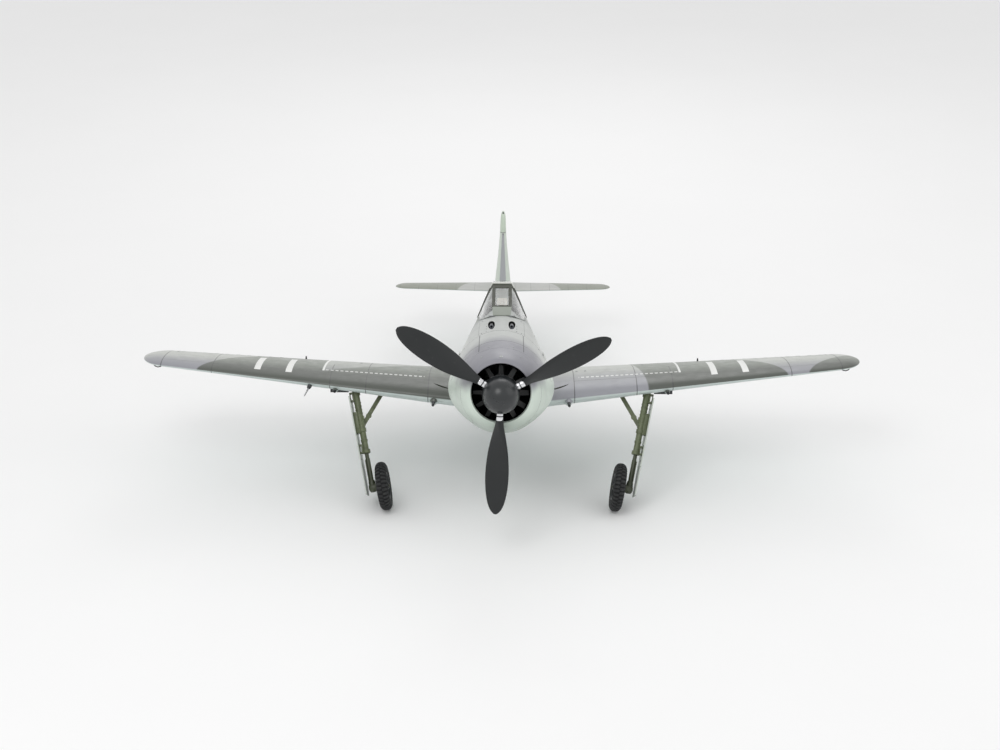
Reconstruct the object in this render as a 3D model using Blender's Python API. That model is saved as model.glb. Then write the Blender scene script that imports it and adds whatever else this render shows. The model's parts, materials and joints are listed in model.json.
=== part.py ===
"""Radio-controlled warbird: a 1:7 flying model of a 1940s radial-engined fighter, on its wheels.

The model is drawn level, in metres: -Y is the nose, +X its left-hand (port) wing, +Z up, and the
origin is the centre of the propeller disc. One empty then tips it nose-up by GROUND_ANGLE, so that
it stands on its main wheels and its tail wheel, with the world origin under the middle of its box.
"""
import math

import bmesh
import bpy
from mathutils import Matrix, Vector

# ---------------------------------------------------------------- driving dimensions (metres)
GAP = 0.0003                    # between neighbouring pieces
GROUND_ANGLE = math.radians(12.5)
HALF_SPAN = 0.750
WALL = 0.003                    # moulded fuselage shell
COWL_WALL = 0.0018

# Body stations: y, top z, bottom z, half width, roundness (2 is an ellipse, more is squarer).
LIP_STATIONS = (
    (0.010, 0.0605, -0.0585, 0.0600, 2.0),
    (0.016, 0.0660, -0.0680, 0.0675, 2.0),
    (0.032, 0.0712, -0.0785, 0.0770, 2.0),
    (0.050, 0.0752, -0.0860, 0.0838, 2.0),
    (0.070, 0.0785, -0.0905, 0.0885, 2.0),
)
BODY_STATIONS = (
    (0.070, 0.0785, -0.0905, 0.0885, 2.0),
    (0.110, 0.0842, -0.0945, 0.0925, 2.0),
    (0.155, 0.0888, -0.0970, 0.0945, 2.0),
    (0.200, 0.0912, -0.0985, 0.0940, 2.0),
    (0.250, 0.0925, -0.1000, 0.0910, 2.0),
    (0.320, 0.0930, -0.1000, 0.0850, 2.1),
    (0.375, 0.0930, -0.1000, 0.0790, 2.25),
    (0.430, 0.0900, -0.1000, 0.0740, 2.5),
    (0.520, 0.0870, -0.0960, 0.0680, 2.5),
    (0.640, 0.0855, -0.0850, 0.0600, 2.4),
    (0.760, 0.0830, -0.0660, 0.0500, 2.3),
    (0.880, 0.0760, -0.0440, 0.0380, 2.2),
    (1.000, 0.0680, -0.0230, 0.0245, 2.1),
    (1.090, 0.0600, -0.0100, 0.0130, 2.0),
    (1.138, 0.0560, -0.0040, 0.0075, 2.0),
)
LIP_BACK = 0.070
COWL_BACK = 0.200
TAIL_POST = 1.138
INTAKE_RADIUS = 0.0570

WING_ROOT_X = 0.093             # dihedral and taper begin here
WING_TIP_X = 0.700              # the rounded tip begins here
ROOT_LE, ROOT_TE = 0.249, 0.599
TIP_LE, TIP_TE = 0.306, 0.480
WING_ROOT_Z = -0.063
DIHEDRAL = math.radians(5.6)
ROOT_THICKNESS, TIP_THICKNESS = 0.155, 0.090
CAMBER = 0.02

AILERON_X = (0.468, 0.690)
FLAP_X = (0.104, 0.456)
AILERON_CHORD = 0.76            # hinge, as a share of the wing's chord
FLAP_CHORD = 0.79
FLAP_PLATE = 0.0022
AILERON_END_GAP = 0.0014        # its ends sweep sideways, because its hinge line isn't square

TAIL_HALF_SPAN = 0.262
TAIL_Z = 0.054
TAIL_HINGE_Y = 1.112
ELEVATOR_INNER_X = 0.024
RUDDER_HINGE_Y = 1.1455
FIN_TOP_Z = 0.232

SPINNER_RADIUS = 0.0365
SPINNER_NOSE = -0.048
PROP_RADIUS = 0.2355
PROP_PHASE = math.radians(62.5)  # first blade, clockwise from up as seen from ahead
BLADE_COUNT = 3
FAN_RADIUS = 0.0535
FAN_BLADES = 12

WHEEL_RADIUS = 0.050
TYRE_CROWN = 0.0122             # radius of the tyre's section
AXLE_OFFSET = 0.0225            # strut to wheel centre
WHEEL_CANT = math.radians(9.0)
LEG_PIVOT = Vector((0.303, 0.303, -0.047))
AXLE_DOWN = Vector((0.2615, 0.224, -0.240))
AXLE_UP_YZ = (0.325, -0.083)    # where the axle lies when the leg is up
STRUT_RADIUS = 0.0064
PISTON_RADIUS = 0.0040
LEG_SHARE = 0.66                # of the strut's length is its upper cylinder
BRACE_FOOT = 0.086              # down the strut from the pivot
BRACE_HEAD = 0.060              # inboard of the pivot, along the raised strut
DOOR_OFFSET = 0.0135            # strut to the door's inner face
DOOR_HALF = 0.026
OLEO_TRAVEL = 0.0105

HATCH_Y = (0.2035, 0.3705)
HATCH_HALF = 0.046
HATCH_HINGE_Z = 0.0934          # level with the highest point of the hatch's rear edge
COCKPIT_Y = (0.412, 0.618)
COCKPIT_HALF = 0.040

TAIL_WHEEL_RADIUS = 0.027
TAIL_AXLE_Y = 1.098
TAIL_STEER_Y = 1.078

ROOT_GUN = (0.138, -0.0655, 0.215, 0.0034, 0.0750)    # x, z, muzzle y, radius, length
OUTER_GUN = (0.341, -0.0475, 0.258, 0.0030, 0.0260)
PITOT = (0.394, -0.0405, 0.180, 0.0013)       # x, z, tip y, radius
SERVO_X = 0.520

# ---------------------------------------------------------------- colours (linear RGB), roughness
PALE_GREEN = ((0.55, 0.62, 0.54), 0.55)
GREY_TOP = ((0.30, 0.31, 0.31), 0.55)
WING_GREY = ((0.33, 0.36, 0.33), 0.55)
GEAR_GREEN = ((0.16, 0.18, 0.12), 0.45)
DOOR_GREY = ((0.42, 0.46, 0.42), 0.50)
BLACK = ((0.03, 0.033, 0.032), 0.40)
RUBBER = ((0.02, 0.02, 0.02), 0.85)
STEEL = ((0.45, 0.45, 0.46), 0.35)
PLY = ((0.55, 0.40, 0.24), 0.70)
SERVO = ((0.03, 0.03, 0.04), 0.45)
CREAM = ((0.72, 0.62, 0.48), 0.70)
BATTERY = ((0.03, 0.06, 0.16), 0.50)
GLASS = ((0.60, 0.62, 0.60), 0.08)


# ---------------------------------------------------------------- scene and mesh helpers
def clear_scene():
    for old in list(bpy.data.objects):
        bpy.data.objects.remove(old, do_unlink=True)


def material(name, finish, metallic=0.0):
    (red, green, blue), roughness = finish
    made = bpy.data.materials.new(name)
    made.use_nodes = True
    shader = made.node_tree.nodes["Principled BSDF"]
    shader.inputs["Base Color"].default_value = (red, green, blue, 1.0)
    shader.inputs["Roughness"].default_value = roughness
    shader.inputs["Metallic"].default_value = metallic
    return made


def new_empty(name, parent=None, matrix=None):
    empty = bpy.data.objects.new(name, None)
    bpy.context.scene.collection.objects.link(empty)
    empty.parent = parent
    if matrix is not None:
        empty.matrix_basis = matrix
    return empty


def new_object(name, bm, pivot, finish=None, metallic=0.0):
    """Make an object from a mesh drawn in the level frame and hang it on a pivot empty."""
    bmesh.ops.remove_doubles(bm, verts=bm.verts, dist=1e-6)
    bmesh.ops.recalc_face_normals(bm, faces=bm.faces)
    mesh = bpy.data.meshes.new(name)
    bm.to_mesh(mesh)
    bm.free()
    mesh.transform(frame_of[pivot.name].inverted())
    mesh.shade_smooth()
    mesh.set_sharp_from_angle(angle=math.radians(32))
    obj = bpy.data.objects.new(name, mesh)
    bpy.context.scene.collection.objects.link(obj)
    obj.parent = pivot
    if finish is None:
        obj.hide_render = True
        obj.display_type = "WIRE"
    else:
        mesh.materials.append(material(name, finish, metallic))
    return obj


def boolean(obj, other, operation):
    modifier = obj.modifiers.new(operation.title() + "_" + other.name, "BOOLEAN")
    modifier.operation = operation
    modifier.solver = "EXACT"
    modifier.object = other


def cut(obj, *tools):
    for tool in tools:
        boolean(obj, tool, "DIFFERENCE")


def loft(rings, loft_closed=False):
    """Skin a list of point rings; open lofts get flat end caps."""
    bm = bmesh.new()
    rows = [[bm.verts.new(point) for point in ring] for ring in rings]
    pairs = list(zip(rows, rows[1:]))
    if loft_closed:
        pairs.append((rows[-1], rows[0]))
    count = len(rows[0])
    for near, far in pairs:
        for i in range(count):
            j = (i + 1) % count
            bm.faces.new((near[i], near[j], far[j], far[i]))
    if not loft_closed:
        bm.faces.new(reversed(rows[0]))
        bm.faces.new(rows[-1])
    return bm


def shell_loft(outer, inner):
    """Skin an open shell: outer and inner rows of points, joined by a rim all round."""
    bm = bmesh.new()
    skins = [[[bm.verts.new(point) for point in row] for row in rows] for rows in (outer, inner)]
    rows, count = len(outer), len(outer[0])
    for skin in skins:
        for r in range(rows - 1):
            for i in range(count - 1):
                bm.faces.new((skin[r][i], skin[r][i + 1], skin[r + 1][i + 1], skin[r + 1][i]))
    for r in (0, rows - 1):
        for i in range(count - 1):
            a, b = skins[0][r], skins[1][r]
            bm.faces.new((a[i], a[i + 1], b[i + 1], b[i]))
    for i in (0, count - 1):
        for r in range(rows - 1):
            a, b = skins
            bm.faces.new((a[r][i], a[r + 1][i], b[r + 1][i], b[r][i]))
    return bm


def box(low, high):
    bm = bmesh.new()
    bmesh.ops.create_cube(bm, size=1.0)
    low, high = Vector(low), Vector(high)
    for vert in bm.verts:
        vert.co = Vector([low[i] + (vert.co[i] + 0.5) * (high[i] - low[i]) for i in range(3)])
    return bm


def placed(bm, matrix):
    bm.transform(matrix)
    return bm


def merged(*parts):
    """Several meshes in one, which stay separate bodies."""
    whole = bmesh.new()
    for part in parts:
        mesh = bpy.data.meshes.new("merge")
        part.to_mesh(mesh)
        part.free()
        whole.from_mesh(mesh)
        bpy.data.meshes.remove(mesh)
    return whole


def circle(centre, normal, radius, count=16, start=0.0):
    normal = Vector(normal).normalized()
    side = normal.orthogonal().normalized()
    other = normal.cross(side)
    angles = [start + math.tau * i / count for i in range(count)]
    return [Vector(centre) + radius * (math.cos(a) * side + math.sin(a) * other) for a in angles]


def rod(start, end, radius, end_radius=None, count=12):
    start, end = Vector(start), Vector(end)
    far_radius = radius if end_radius is None else end_radius
    along = end - start
    return loft([circle(start, along, radius, count), circle(end, along, far_radius, count)])


def turned(profile, centre, axis, count=24, closed=True):
    """Turn (along, radius) points about an axis; a closed profile makes a ring or a tube."""
    centre, axis = Vector(centre), Vector(axis).normalized()
    rings = [circle(centre + axis * along, axis, radius, count) for along, radius in profile]
    return loft(rings, loft_closed=closed)


def pipe(start, end, outer, inner, count=16):
    length = (Vector(end) - Vector(start)).length
    profile = ((0.0, outer), (length, outer), (length, inner), (0.0, inner))
    return turned(profile, start, Vector(end) - Vector(start), count)


def mirrored(bm, side):
    if side < 0:
        bm.transform(Matrix.Scale(-1.0, 4, (1.0, 0.0, 0.0)))
    return bm


def mirror_point(point, side):
    return Vector((side * point[0], point[1], point[2]))


# ---------------------------------------------------------------- pivots
frame_of = {}


def make_pivot(joint, parent, origin, axis):
    """An empty on a joint's axis, with its Z along the axis."""
    name = joint + "_pivot"
    level = Matrix.Translation(origin) @ Vector(axis).to_track_quat("Z", "Y").to_matrix().to_4x4()
    empty = new_empty(name, parent, frame_of[parent.name].inverted() @ level)
    frame_of[name] = level
    return empty


# ---------------------------------------------------------------- body sections
def body_section(y, stations=BODY_STATIONS, inset=0.0, count=32):
    """One ring round the body at y, interpolated between its stations."""
    before = stations[0]
    after = stations[-1]
    for first, second in zip(stations, stations[1:]):
        if first[0] <= y <= second[0]:
            before, after = first, second
            break
    span = after[0] - before[0]
    share = min(1.0, max(0.0, (y - before[0]) / span)) if span else 0.0
    top, bottom, half, power = (a + (b - a) * share for a, b in zip(before[1:], after[1:]))
    middle, height = (top + bottom) / 2, (top - bottom) / 2 - inset
    ring = []
    for i in range(count):
        angle = math.tau * (i + 0.5) / count
        c, s = math.cos(angle), math.sin(angle)
        x = (half - inset) * math.copysign(abs(c) ** (2 / power), c)
        z = middle + height * math.copysign(abs(s) ** (2 / power), s)
        ring.append(Vector((x, y, z)))
    return ring


def body_loft(first, last, inset=0.0):
    inside = [row[0] for row in BODY_STATIONS if first < row[0] < last]
    return loft([body_section(y, inset=inset) for y in [first] + inside + [last]])


def build_cowling(root):
    outer = [body_section(y, LIP_STATIONS) for y, *_ in LIP_STATIONS[:-1]]
    outer.append(body_section(LIP_BACK - GAP, LIP_STATIONS))
    inner_radii = ((LIP_BACK - GAP, 0.0700), (0.040, 0.0620), (0.020, INTAKE_RADIUS),
                   (0.0125, INTAKE_RADIUS))
    inner = []
    count = len(outer[0])
    for y, radius in inner_radii:
        angles = [math.tau * (i + 0.5) / count for i in range(count)]
        inner.append([Vector((radius * math.cos(a), y, 0.001 + radius * math.sin(a)))
                      for a in angles])
    new_object("nose_ring", loft(outer + inner, loft_closed=True), root, PALE_GREEN)

    rows = [y for y, *_ in BODY_STATIONS if LIP_BACK < y < COWL_BACK]
    rows = [LIP_BACK + GAP] + rows + [COWL_BACK - GAP]
    skin = [[side_bulge(point) for point in body_section(y)] for y in rows]
    lining = [body_section(y, inset=COWL_WALL) for y in reversed(rows)]
    new_object("engine_cowl", loft(skin + lining, loft_closed=True), root, PALE_GREEN)


def side_bulge(point):
    """Push the cowl's skin out into the long blister over its side air duct."""
    along = (point.y - 0.150) / 0.075
    height = (point.z + 0.030) / 0.055
    reach = max(0.0, 1.0 - along * along) * max(0.0, 1.0 - height * height)
    return Vector((point.x + math.copysign(0.0125, point.x) * reach, point.y, point.z))


# ---------------------------------------------------------------- wing sections
def wing_chord(x):
    """Leading edge y, trailing edge y, height and thickness ratio of the wing at x."""
    share = max(0.0, min(1.0, (x - WING_ROOT_X) / (WING_TIP_X - WING_ROOT_X)))
    lead = ROOT_LE + (TIP_LE - ROOT_LE) * share
    trail = ROOT_TE + (TIP_TE - ROOT_TE) * share
    height = WING_ROOT_Z + math.tan(DIHEDRAL) * max(0.0, x - WING_ROOT_X)
    ratio = ROOT_THICKNESS + (TIP_THICKNESS - ROOT_THICKNESS) * share
    if x > WING_TIP_X:
        round_off = math.sqrt(max(0.0, 1.0 - ((x - WING_TIP_X) / (HALF_SPAN - WING_TIP_X)) ** 2))
        middle = lead + 0.45 * (trail - lead)
        lead = middle + (lead - middle) * round_off
        trail = middle + (trail - middle) * round_off
    return lead, trail, height, ratio


def foil_height(share, ratio, upper):
    """Height over the chord line, as a share of the chord."""
    root = 0.2969 * math.sqrt(share) - 0.1260 * share - 0.3516 * share ** 2
    half = 5 * ratio * (root + 0.2843 * share ** 3 - 0.1036 * share ** 4) + 0.0022 * share
    camber = CAMBER * 4 * share * (1 - share)
    return camber + half if upper else camber - half


def foil_ring(lead, trail, ratio, place, count=11, grow=0.0):
    """Section points from the trailing edge over the top to the nose and back underneath."""
    chord = trail - lead
    shares = [0.5 - 0.5 * math.cos(math.pi * i / count) for i in range(count + 1)]
    points = [(s, foil_height(s, ratio, True) * chord + grow) for s in reversed(shares[1:])]
    points += [(0.0, 0.0)]
    points += [(s, foil_height(s, ratio, False) * chord - grow) for s in shares[1:]]
    return [place(lead + chord * s, h) for s, h in points]


def wing_blank(side):
    xs = (0.00015, WING_ROOT_X, 0.27, 0.47, 0.60, WING_TIP_X, 0.725, 0.741, 0.7485)
    rings = []
    for x in xs:
        lead, trail, height, ratio = wing_chord(x)
        rings.append(foil_ring(lead, trail, ratio,
                               lambda y, h, x=x, z=height: Vector((x, y, z + h))))
    return mirrored(loft(rings), side)


def wing_point(x, share, upper=None):
    """A point on the wing at x: on its chord line, or on one of its skins."""
    lead, trail, height, ratio = wing_chord(x)
    chord = trail - lead
    rise = CAMBER * 4 * share * (1 - share)
    if upper is not None:
        rise = foil_height(share, ratio, upper)
    return Vector((x, lead + chord * share, height + rise * chord))


def wedge_prism(near, far, slope, reach=0.20, height=0.04):
    """A control surface's blank: its nose is a wedge whose edge runs from near to far."""
    rings = []
    for point in (near, far):
        back = height * slope
        outline = ((0.0, 0.0), (back, height), (reach, height), (reach, -height), (back, -height))
        rings.append([point + Vector((0.0, dy, dz)) for dy, dz in outline])
    return loft(rings)


def bay_prism(near, far, ahead, reach=0.20, height=0.06):
    """The space cut out of a wing for a control surface, its front face just ahead of the hinge."""
    rings = []
    for point in (near, far):
        outline = ((-ahead, height), (reach, height), (reach, -height), (-ahead, -height))
        rings.append([point + Vector((0.0, dy, dz)) for dy, dz in outline])
    return loft(rings)


# ---------------------------------------------------------------- main gear geometry
def strut_frame(along, outward):
    """Axes of a leg: along the strut, its wheel's outward axle direction squared up, and across."""
    square = (outward - along * outward.dot(along)).normalized()
    return Matrix((along, square, along.cross(square))).transposed()


def retract_geometry():
    """The one hinge that swings the leg from AXLE_DOWN to its bay with the wheel near flat."""
    down = AXLE_DOWN - LEG_PIVOT
    length = down.length
    across = AXLE_UP_YZ[0] - LEG_PIVOT.y
    rise = AXLE_UP_YZ[1] - LEG_PIVOT.z
    inward = -math.sqrt(length ** 2 - across ** 2 - rise ** 2)
    axle_down = Vector((math.cos(WHEEL_CANT), 0.0, -math.sin(WHEEL_CANT)))
    strut_down = down / length
    strut_up = Vector((inward, across, rise)) / length
    lean = strut_down.dot(axle_down)
    straight = Vector((0.0, 0.0, -1.0))
    straight = (straight - strut_up * straight.dot(strut_up)).normalized()
    axle_up = strut_up * lean + straight * math.sqrt(1.0 - lean * lean)
    turn = strut_frame(strut_up, axle_up) @ strut_frame(strut_down, axle_down).transposed()
    axis, angle = turn.to_quaternion().to_axis_angle()
    return {"length": length, "down": strut_down, "up": strut_up, "axle_down": axle_down,
            "axle_up": axle_up, "axis": Vector(axis), "angle": angle, "turn": turn}


GEAR = retract_geometry()


def brace_geometry():
    """Two links in one plane: straight with the leg down, folded flat with the leg up."""
    axis = GEAR["axis"]
    flat_down = (GEAR["down"] - axis * GEAR["down"].dot(axis)).normalized()
    flat_up = GEAR["turn"] @ flat_down
    foot = LEG_PIVOT + flat_down * BRACE_FOOT
    head = LEG_PIVOT + flat_up * BRACE_HEAD
    total = (foot - head).length
    fold = BRACE_FOOT - BRACE_HEAD
    upper = (total + fold) / 2
    lower = (total - fold) / 2
    knuckle = head + (foot - head) * (upper / total)
    direction = (foot - head).normalized()
    swing = math.atan2(axis.dot(direction.cross(flat_up)), direction.dot(flat_up))
    lower_swing = (math.pi - swing) + GEAR["angle"]
    shift = GEAR["down"].dot(axis) * BRACE_FOOT
    return {"foot": foot, "head": head, "knuckle": knuckle, "upper": upper, "lower": lower,
            "swing": swing, "lower_swing": -lower_swing, "flat_up": flat_up, "shift": shift}


BRACE = brace_geometry()


def gear_matrix(up):
    """Frame at the leg's pivot: X down the strut, Y outward through the door, Z across."""
    along = GEAR["up"] if up else GEAR["down"]
    outward = GEAR["axle_up"] if up else GEAR["axle_down"]
    return Matrix.Translation(LEG_PIVOT) @ strut_frame(along, outward).to_4x4()


def mirror_axis(axis, side):
    """The axis whose positive turn mirrors the left-hand side's positive turn."""
    return Vector(axis) if side > 0 else Vector((axis[0], -axis[1], -axis[2]))


# ---------------------------------------------------------------- fuselage
def fin_section(z, lead, post, half, post_half):
    """Fin outline at one height: a rounded nose and a blunt hinge post."""
    chord = post - lead
    nose = [(s, half * w) for s, w in ((0.0, 0.0), (0.04, 0.42), (0.16, 0.80), (0.40, 1.0))]
    widths = nose + [(0.75, 0.45 * half + 0.60 * post_half), (1.0, post_half)]
    left = [Vector((w, lead + chord * s, z)) for s, w in widths]
    right = [Vector((-w, lead + chord * s, z)) for s, w in reversed(widths[1:])]
    return left + right


def fin_blank():
    levels = ((0.040, 0.955, TAIL_POST, 0.0140, 0.0070), (0.056, 0.970, TAIL_POST, 0.0185, 0.0078),
              (0.075, 0.988, TAIL_POST, 0.0185, 0.0078), (0.120, 1.025, 1.1375, 0.0135, 0.0068),
              (0.180, 1.066, 1.1370, 0.0080, 0.0056), (0.214, 1.091, 1.1365, 0.0066, 0.0048),
              (0.227, 1.106, 1.1362, 0.0054, 0.0040), (FIN_TOP_Z, 1.122, 1.1360, 0.0036, 0.0028))
    return loft([fin_section(*level) for level in levels])


def tail_ring(x, grow=0.0):
    share = abs(x) / TAIL_HALF_SPAN
    lead = 1.010 + 0.042 * share
    trail = 1.160 - 0.020 * share
    if share > 0.90:
        curve = math.sqrt(max(0.0, 1.0 - ((share - 0.90) / 0.102) ** 2))
        middle = 1.085
        lead = middle + (lead - middle) * curve
        trail = middle + (trail - middle) * curve
    return foil_ring(lead - grow, trail + grow, 0.085,
                     lambda y, h: Vector((x, y, TAIL_Z + h * 0.9)), count=8, grow=grow)


def tail_blank(grow=0.0, reach=1.0):
    shares = (-1.0, -0.97, -0.92, -0.5, 0.0, 0.5, 0.92, 0.97, 1.0)
    rings = [tail_ring(TAIL_HALF_SPAN * share * reach, grow) for share in shares]
    return loft(rings)


def saddle_prism():
    """What the wing's centre section takes out of the fuselage's underside."""
    outline = foil_ring(ROOT_LE, ROOT_TE, ROOT_THICKNESS, lambda y, h: (y, WING_ROOT_Z + h),
                        grow=0.0005)
    top = outline[:len(outline) // 2 + 1]
    under = [(ROOT_LE - 0.0006, -0.15), (ROOT_TE + 0.0006, -0.15)]
    nose = [(ROOT_LE - 0.0006, top[-1][1])]
    tail = [(ROOT_TE + 0.0006, top[0][1])]
    profile = tail + top[1:-1] + nose + under
    return loft([[Vector((x, y, z)) for y, z in profile] for x in (-0.12, 0.12)])


def build_fuselage(root, tools):
    body = new_object("fuselage", body_loft(COWL_BACK + GAP, TAIL_POST), root, GREY_TOP)
    boolean(body, new_object("fin_blank", fin_blank(), root), "UNION")
    tools["hollow"] = new_object("fuselage_hollow", body_loft(0.185, 1.060, WALL), root)
    low, high = HATCH_Y
    hatch_hole = box((-HATCH_HALF - GAP, low - GAP, 0.045), (HATCH_HALF + GAP, high + GAP, 0.12))
    cockpit_hole = box((-COCKPIT_HALF, COCKPIT_Y[0], 0.020), (COCKPIT_HALF, COCKPIT_Y[1], 0.12))
    strut_hole = rod((0.0, TAIL_STEER_Y, -0.05), (0.0, TAIL_STEER_Y, 0.034), 0.0046)
    rod_hole = rod((-0.0237, TAIL_HINGE_Y, TAIL_Z), (0.0237, TAIL_HINGE_Y, TAIL_Z), 0.0042)
    tools["rod_hole"] = new_object("elevator_rod_hole", rod_hole, root)
    cut(body, tools["hollow"],
        new_object("wing_saddle", saddle_prism(), root),
        new_object("hatch_hole", hatch_hole, root),
        new_object("cockpit_hole", cockpit_hole, root),
        new_object("tailplane_slot", tail_blank(GAP, 0.5), root),
        tools["rod_hole"],
        new_object("tail_strut_hole", strut_hole, root))


def build_hatch(root, pivot, tools):
    low, high = HATCH_Y
    hatch = new_object("battery_hatch", body_loft(COWL_BACK + GAP, 0.43), pivot, GREY_TOP)
    cut(hatch, tools["hollow"])
    blank = box((-HATCH_HALF, low, 0.046), (HATCH_HALF, high, 0.12))
    boolean(hatch, new_object("hatch_blank", blank, root), "INTERSECT")


# ---------------------------------------------------------------- wings and what is in them
def belly_blank(root, side):
    """The half of the fuselage's underside that is moulded on the wing's centre section."""
    name = "belly_blank_" + side_name(side)
    belly = new_object(name, body_loft(0.22, 0.65), root)
    low = (0.00015, ROOT_LE + 0.0012, -0.15)
    high = (0.12, ROOT_TE - 0.0012, WING_ROOT_Z)
    window = mirrored(box(low, high), side)
    boolean(belly, new_object(name + "_window", window, root), "INTERSECT")
    return belly


def side_name(side):
    return "left" if side > 0 else "right"


def wheel_bay(wheel, axle, count=16):
    """The wheel's bay: an oblong that also clears the tyre with its oleo pushed in."""
    across = Vector((0.0, 0.0, 1.0))
    along = across.cross(axle)
    along *= math.copysign(1.0, along.x)
    rings = []
    for depth in (-(TYRE_CROWN + 0.0018), 0.10):
        ring = []
        for heading, shift in ((1.0, 0.0), (-1.0, OLEO_TRAVEL)):
            centre = wheel + axle * depth - along * shift
            for i in range(count + 1):
                angle = math.pi * (i / count - 0.5)
                spoke = heading * (along * math.cos(angle) + across * math.sin(angle))
                ring.append(centre + spoke * (WHEEL_RADIUS + 0.0045))
        rings.append(ring)
    return loft(rings)


def brace_pocket():
    """The slot that both links of the brace fold into, open through the wing's underside."""
    along, axis = BRACE["flat_up"], GEAR["axis"]
    below = along.cross(axis)
    frame = Matrix((along, below, axis)).transposed().to_4x4()
    low = (BRACE_HEAD - 0.0200, -0.0065, BRACE["shift"] + 0.0065)
    high = (BRACE_HEAD + BRACE["upper"] + 0.0065, 0.08, BRACE["shift"] + 0.0175)
    return placed(box(low, high), Matrix.Translation(LEG_PIVOT) @ frame)


def well_tools(root, side):
    """Cutters for the wheel bay, the leg's trough, the door's recess and the retract unit."""
    up = gear_matrix(True)
    length = GEAR["length"]
    lean = GEAR["up"].dot(GEAR["axle_up"])
    axle = Vector((lean, math.sqrt(1.0 - lean * lean), 0.0))
    wheel = Vector((length, 0.0, 0.0)) - axle * AXLE_OFFSET
    bay = wheel_bay(wheel, axle)
    trough = box((-0.012, -0.0095, -0.013), (length, 0.08, 0.0215))
    recess_half = DOOR_HALF + 0.0015
    recess = box((0.010, DOOR_OFFSET - 0.0035, -recess_half), (length - 0.004, 0.08, recess_half))
    pocket = box((0.286, 0.2872, -0.085), (0.3535, 0.3245, -0.0300))
    name = side_name(side)
    made = []
    for label, mesh in (("wheel_bay", bay), ("leg_trough", trough), ("door_recess", recess)):
        made.append(new_object(label + "_" + name, mirrored(placed(mesh, up), side), root))
    made.append(new_object("retract_pocket_" + name, mirrored(pocket, side), root))
    made.append(new_object("brace_pocket_" + name, mirrored(brace_pocket(), side), root))
    return made


def build_wing(root, side):
    name = side_name(side)
    wing = new_object("wing_" + name, wing_blank(side), root, WING_GREY)
    boolean(wing, belly_blank(root, side), "UNION")
    cut(wing, *well_tools(root, side))

    near, far = (wing_point(x, AILERON_CHORD) for x in AILERON_X)
    step = (far - near).normalized() * AILERON_END_GAP
    bay = mirrored(bay_prism(near - step, far + step, 0.0007), side)
    cut(wing, new_object("aileron_bay_" + name, bay, root))
    cut(wing, new_object("flap_bay_" + name, mirrored(flap_slab(0.0004), side), root))

    tube_hole = rod((-0.01, 0.410, -0.056), (0.1605, 0.410, -0.056), 0.0063, count=16)
    cut(wing, new_object("spar_hole_" + name, mirrored(tube_hole, side), root))
    for label, (x, z, muzzle, radius, length) in (("root", ROOT_GUN), ("outer", OUTER_GUN)):
        hole = rod((x, 0.20, z), (x, muzzle + length + GAP, z), radius + GAP)
        cut(wing, new_object(label + "_gun_hole_" + name, mirrored(hole, side), root))
    spot = wing_point(SERVO_X, 0.52, upper=False)
    low = spot + Vector((-0.0125, -0.0075, -0.03))
    high = spot + Vector((0.0125, 0.0195, 0.0125))
    pocket = mirrored(box(low, high), side)
    cut(wing, new_object("servo_pocket_" + name, pocket, root))
    low = spot + Vector((-0.0118, -0.0068, 0.0002))
    high = spot + Vector((0.0118, 0.0182, 0.0120))
    new_object("aileron_servo_" + name, mirrored(box(low, high), side), root, SERVO)
    if side < 0:
        x, z, tip, radius = PITOT
        hole = rod((x, 0.25, z), (x, 0.3305, z), radius + GAP)
        cut(wing, new_object("pitot_hole", mirrored(hole, side), root))
        pitot = turned(((0.0, 0.0008), (0.012, radius), (0.150, radius)),
                       (-x, tip, z), (0.0, 1.0, 0.0), 10, closed=False)
        new_object("pitot_tube", pitot, root, STEEL, 0.8)


def flap_slab(margin):
    """The skin strip that is the split flap: everything within FLAP_PLATE of the wing's underside."""
    rings = []
    shift = (-margin, margin) if margin else (0.0, 0.0)
    for x, nudge in zip(FLAP_X, shift):
        hinge = wing_point(x, FLAP_CHORD, upper=False)
        tail = wing_point(x, 0.985, upper=False)
        lift = FLAP_PLATE + margin
        rings.append([
            Vector((x + nudge, hinge.y - margin, hinge.z + lift)),
            Vector((x + nudge, tail.y + margin, tail.z + lift * 0.55)),
            Vector((x + nudge, tail.y + margin, tail.z - 0.02)),
            Vector((x + nudge, hinge.y - margin, hinge.z - 0.02)),
        ])
    return loft(rings)


def build_flap(root, pivot, side):
    name = side_name(side)
    flap = new_object("flap_" + name, wing_blank(side), pivot, WING_GREY)
    blank = new_object("flap_blank_" + name, mirrored(flap_slab(0.0), side), root)
    boolean(flap, blank, "INTERSECT")


def build_aileron(root, pivot, side):
    name = side_name(side)
    near, far = (wing_point(x, AILERON_CHORD) for x in AILERON_X)
    aileron = new_object("aileron_" + name, wing_blank(side), pivot, WING_GREY)
    blank = mirrored(wedge_prism(near, far, 0.62), side)
    boolean(aileron, new_object("aileron_blank_" + name, blank, root), "INTERSECT")


def build_guns(root, side):
    name = side_name(side)
    for label, (x, z, muzzle, radius, length) in (("root", ROOT_GUN), ("outer", OUTER_GUN)):
        sleeve = length * 0.28
        profile = ((0.0, radius * 0.8), (sleeve, radius * 0.8), (sleeve + 0.002, radius),
                   (length, radius))
        barrel = turned(profile, (x, muzzle, z), (0.0, 1.0, 0.0), 10, closed=False)
        new_object(label + "_gun_" + name, mirrored(barrel, side), root, BLACK, 0.6)


def build_retract_unit(root, side):
    unit = box((0.3145, 0.2885, -0.0545), (0.3520, 0.3230, -0.0315))
    name = "retract_unit_" + side_name(side)
    new_object(name, mirrored(unit, side), root, SERVO)


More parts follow.
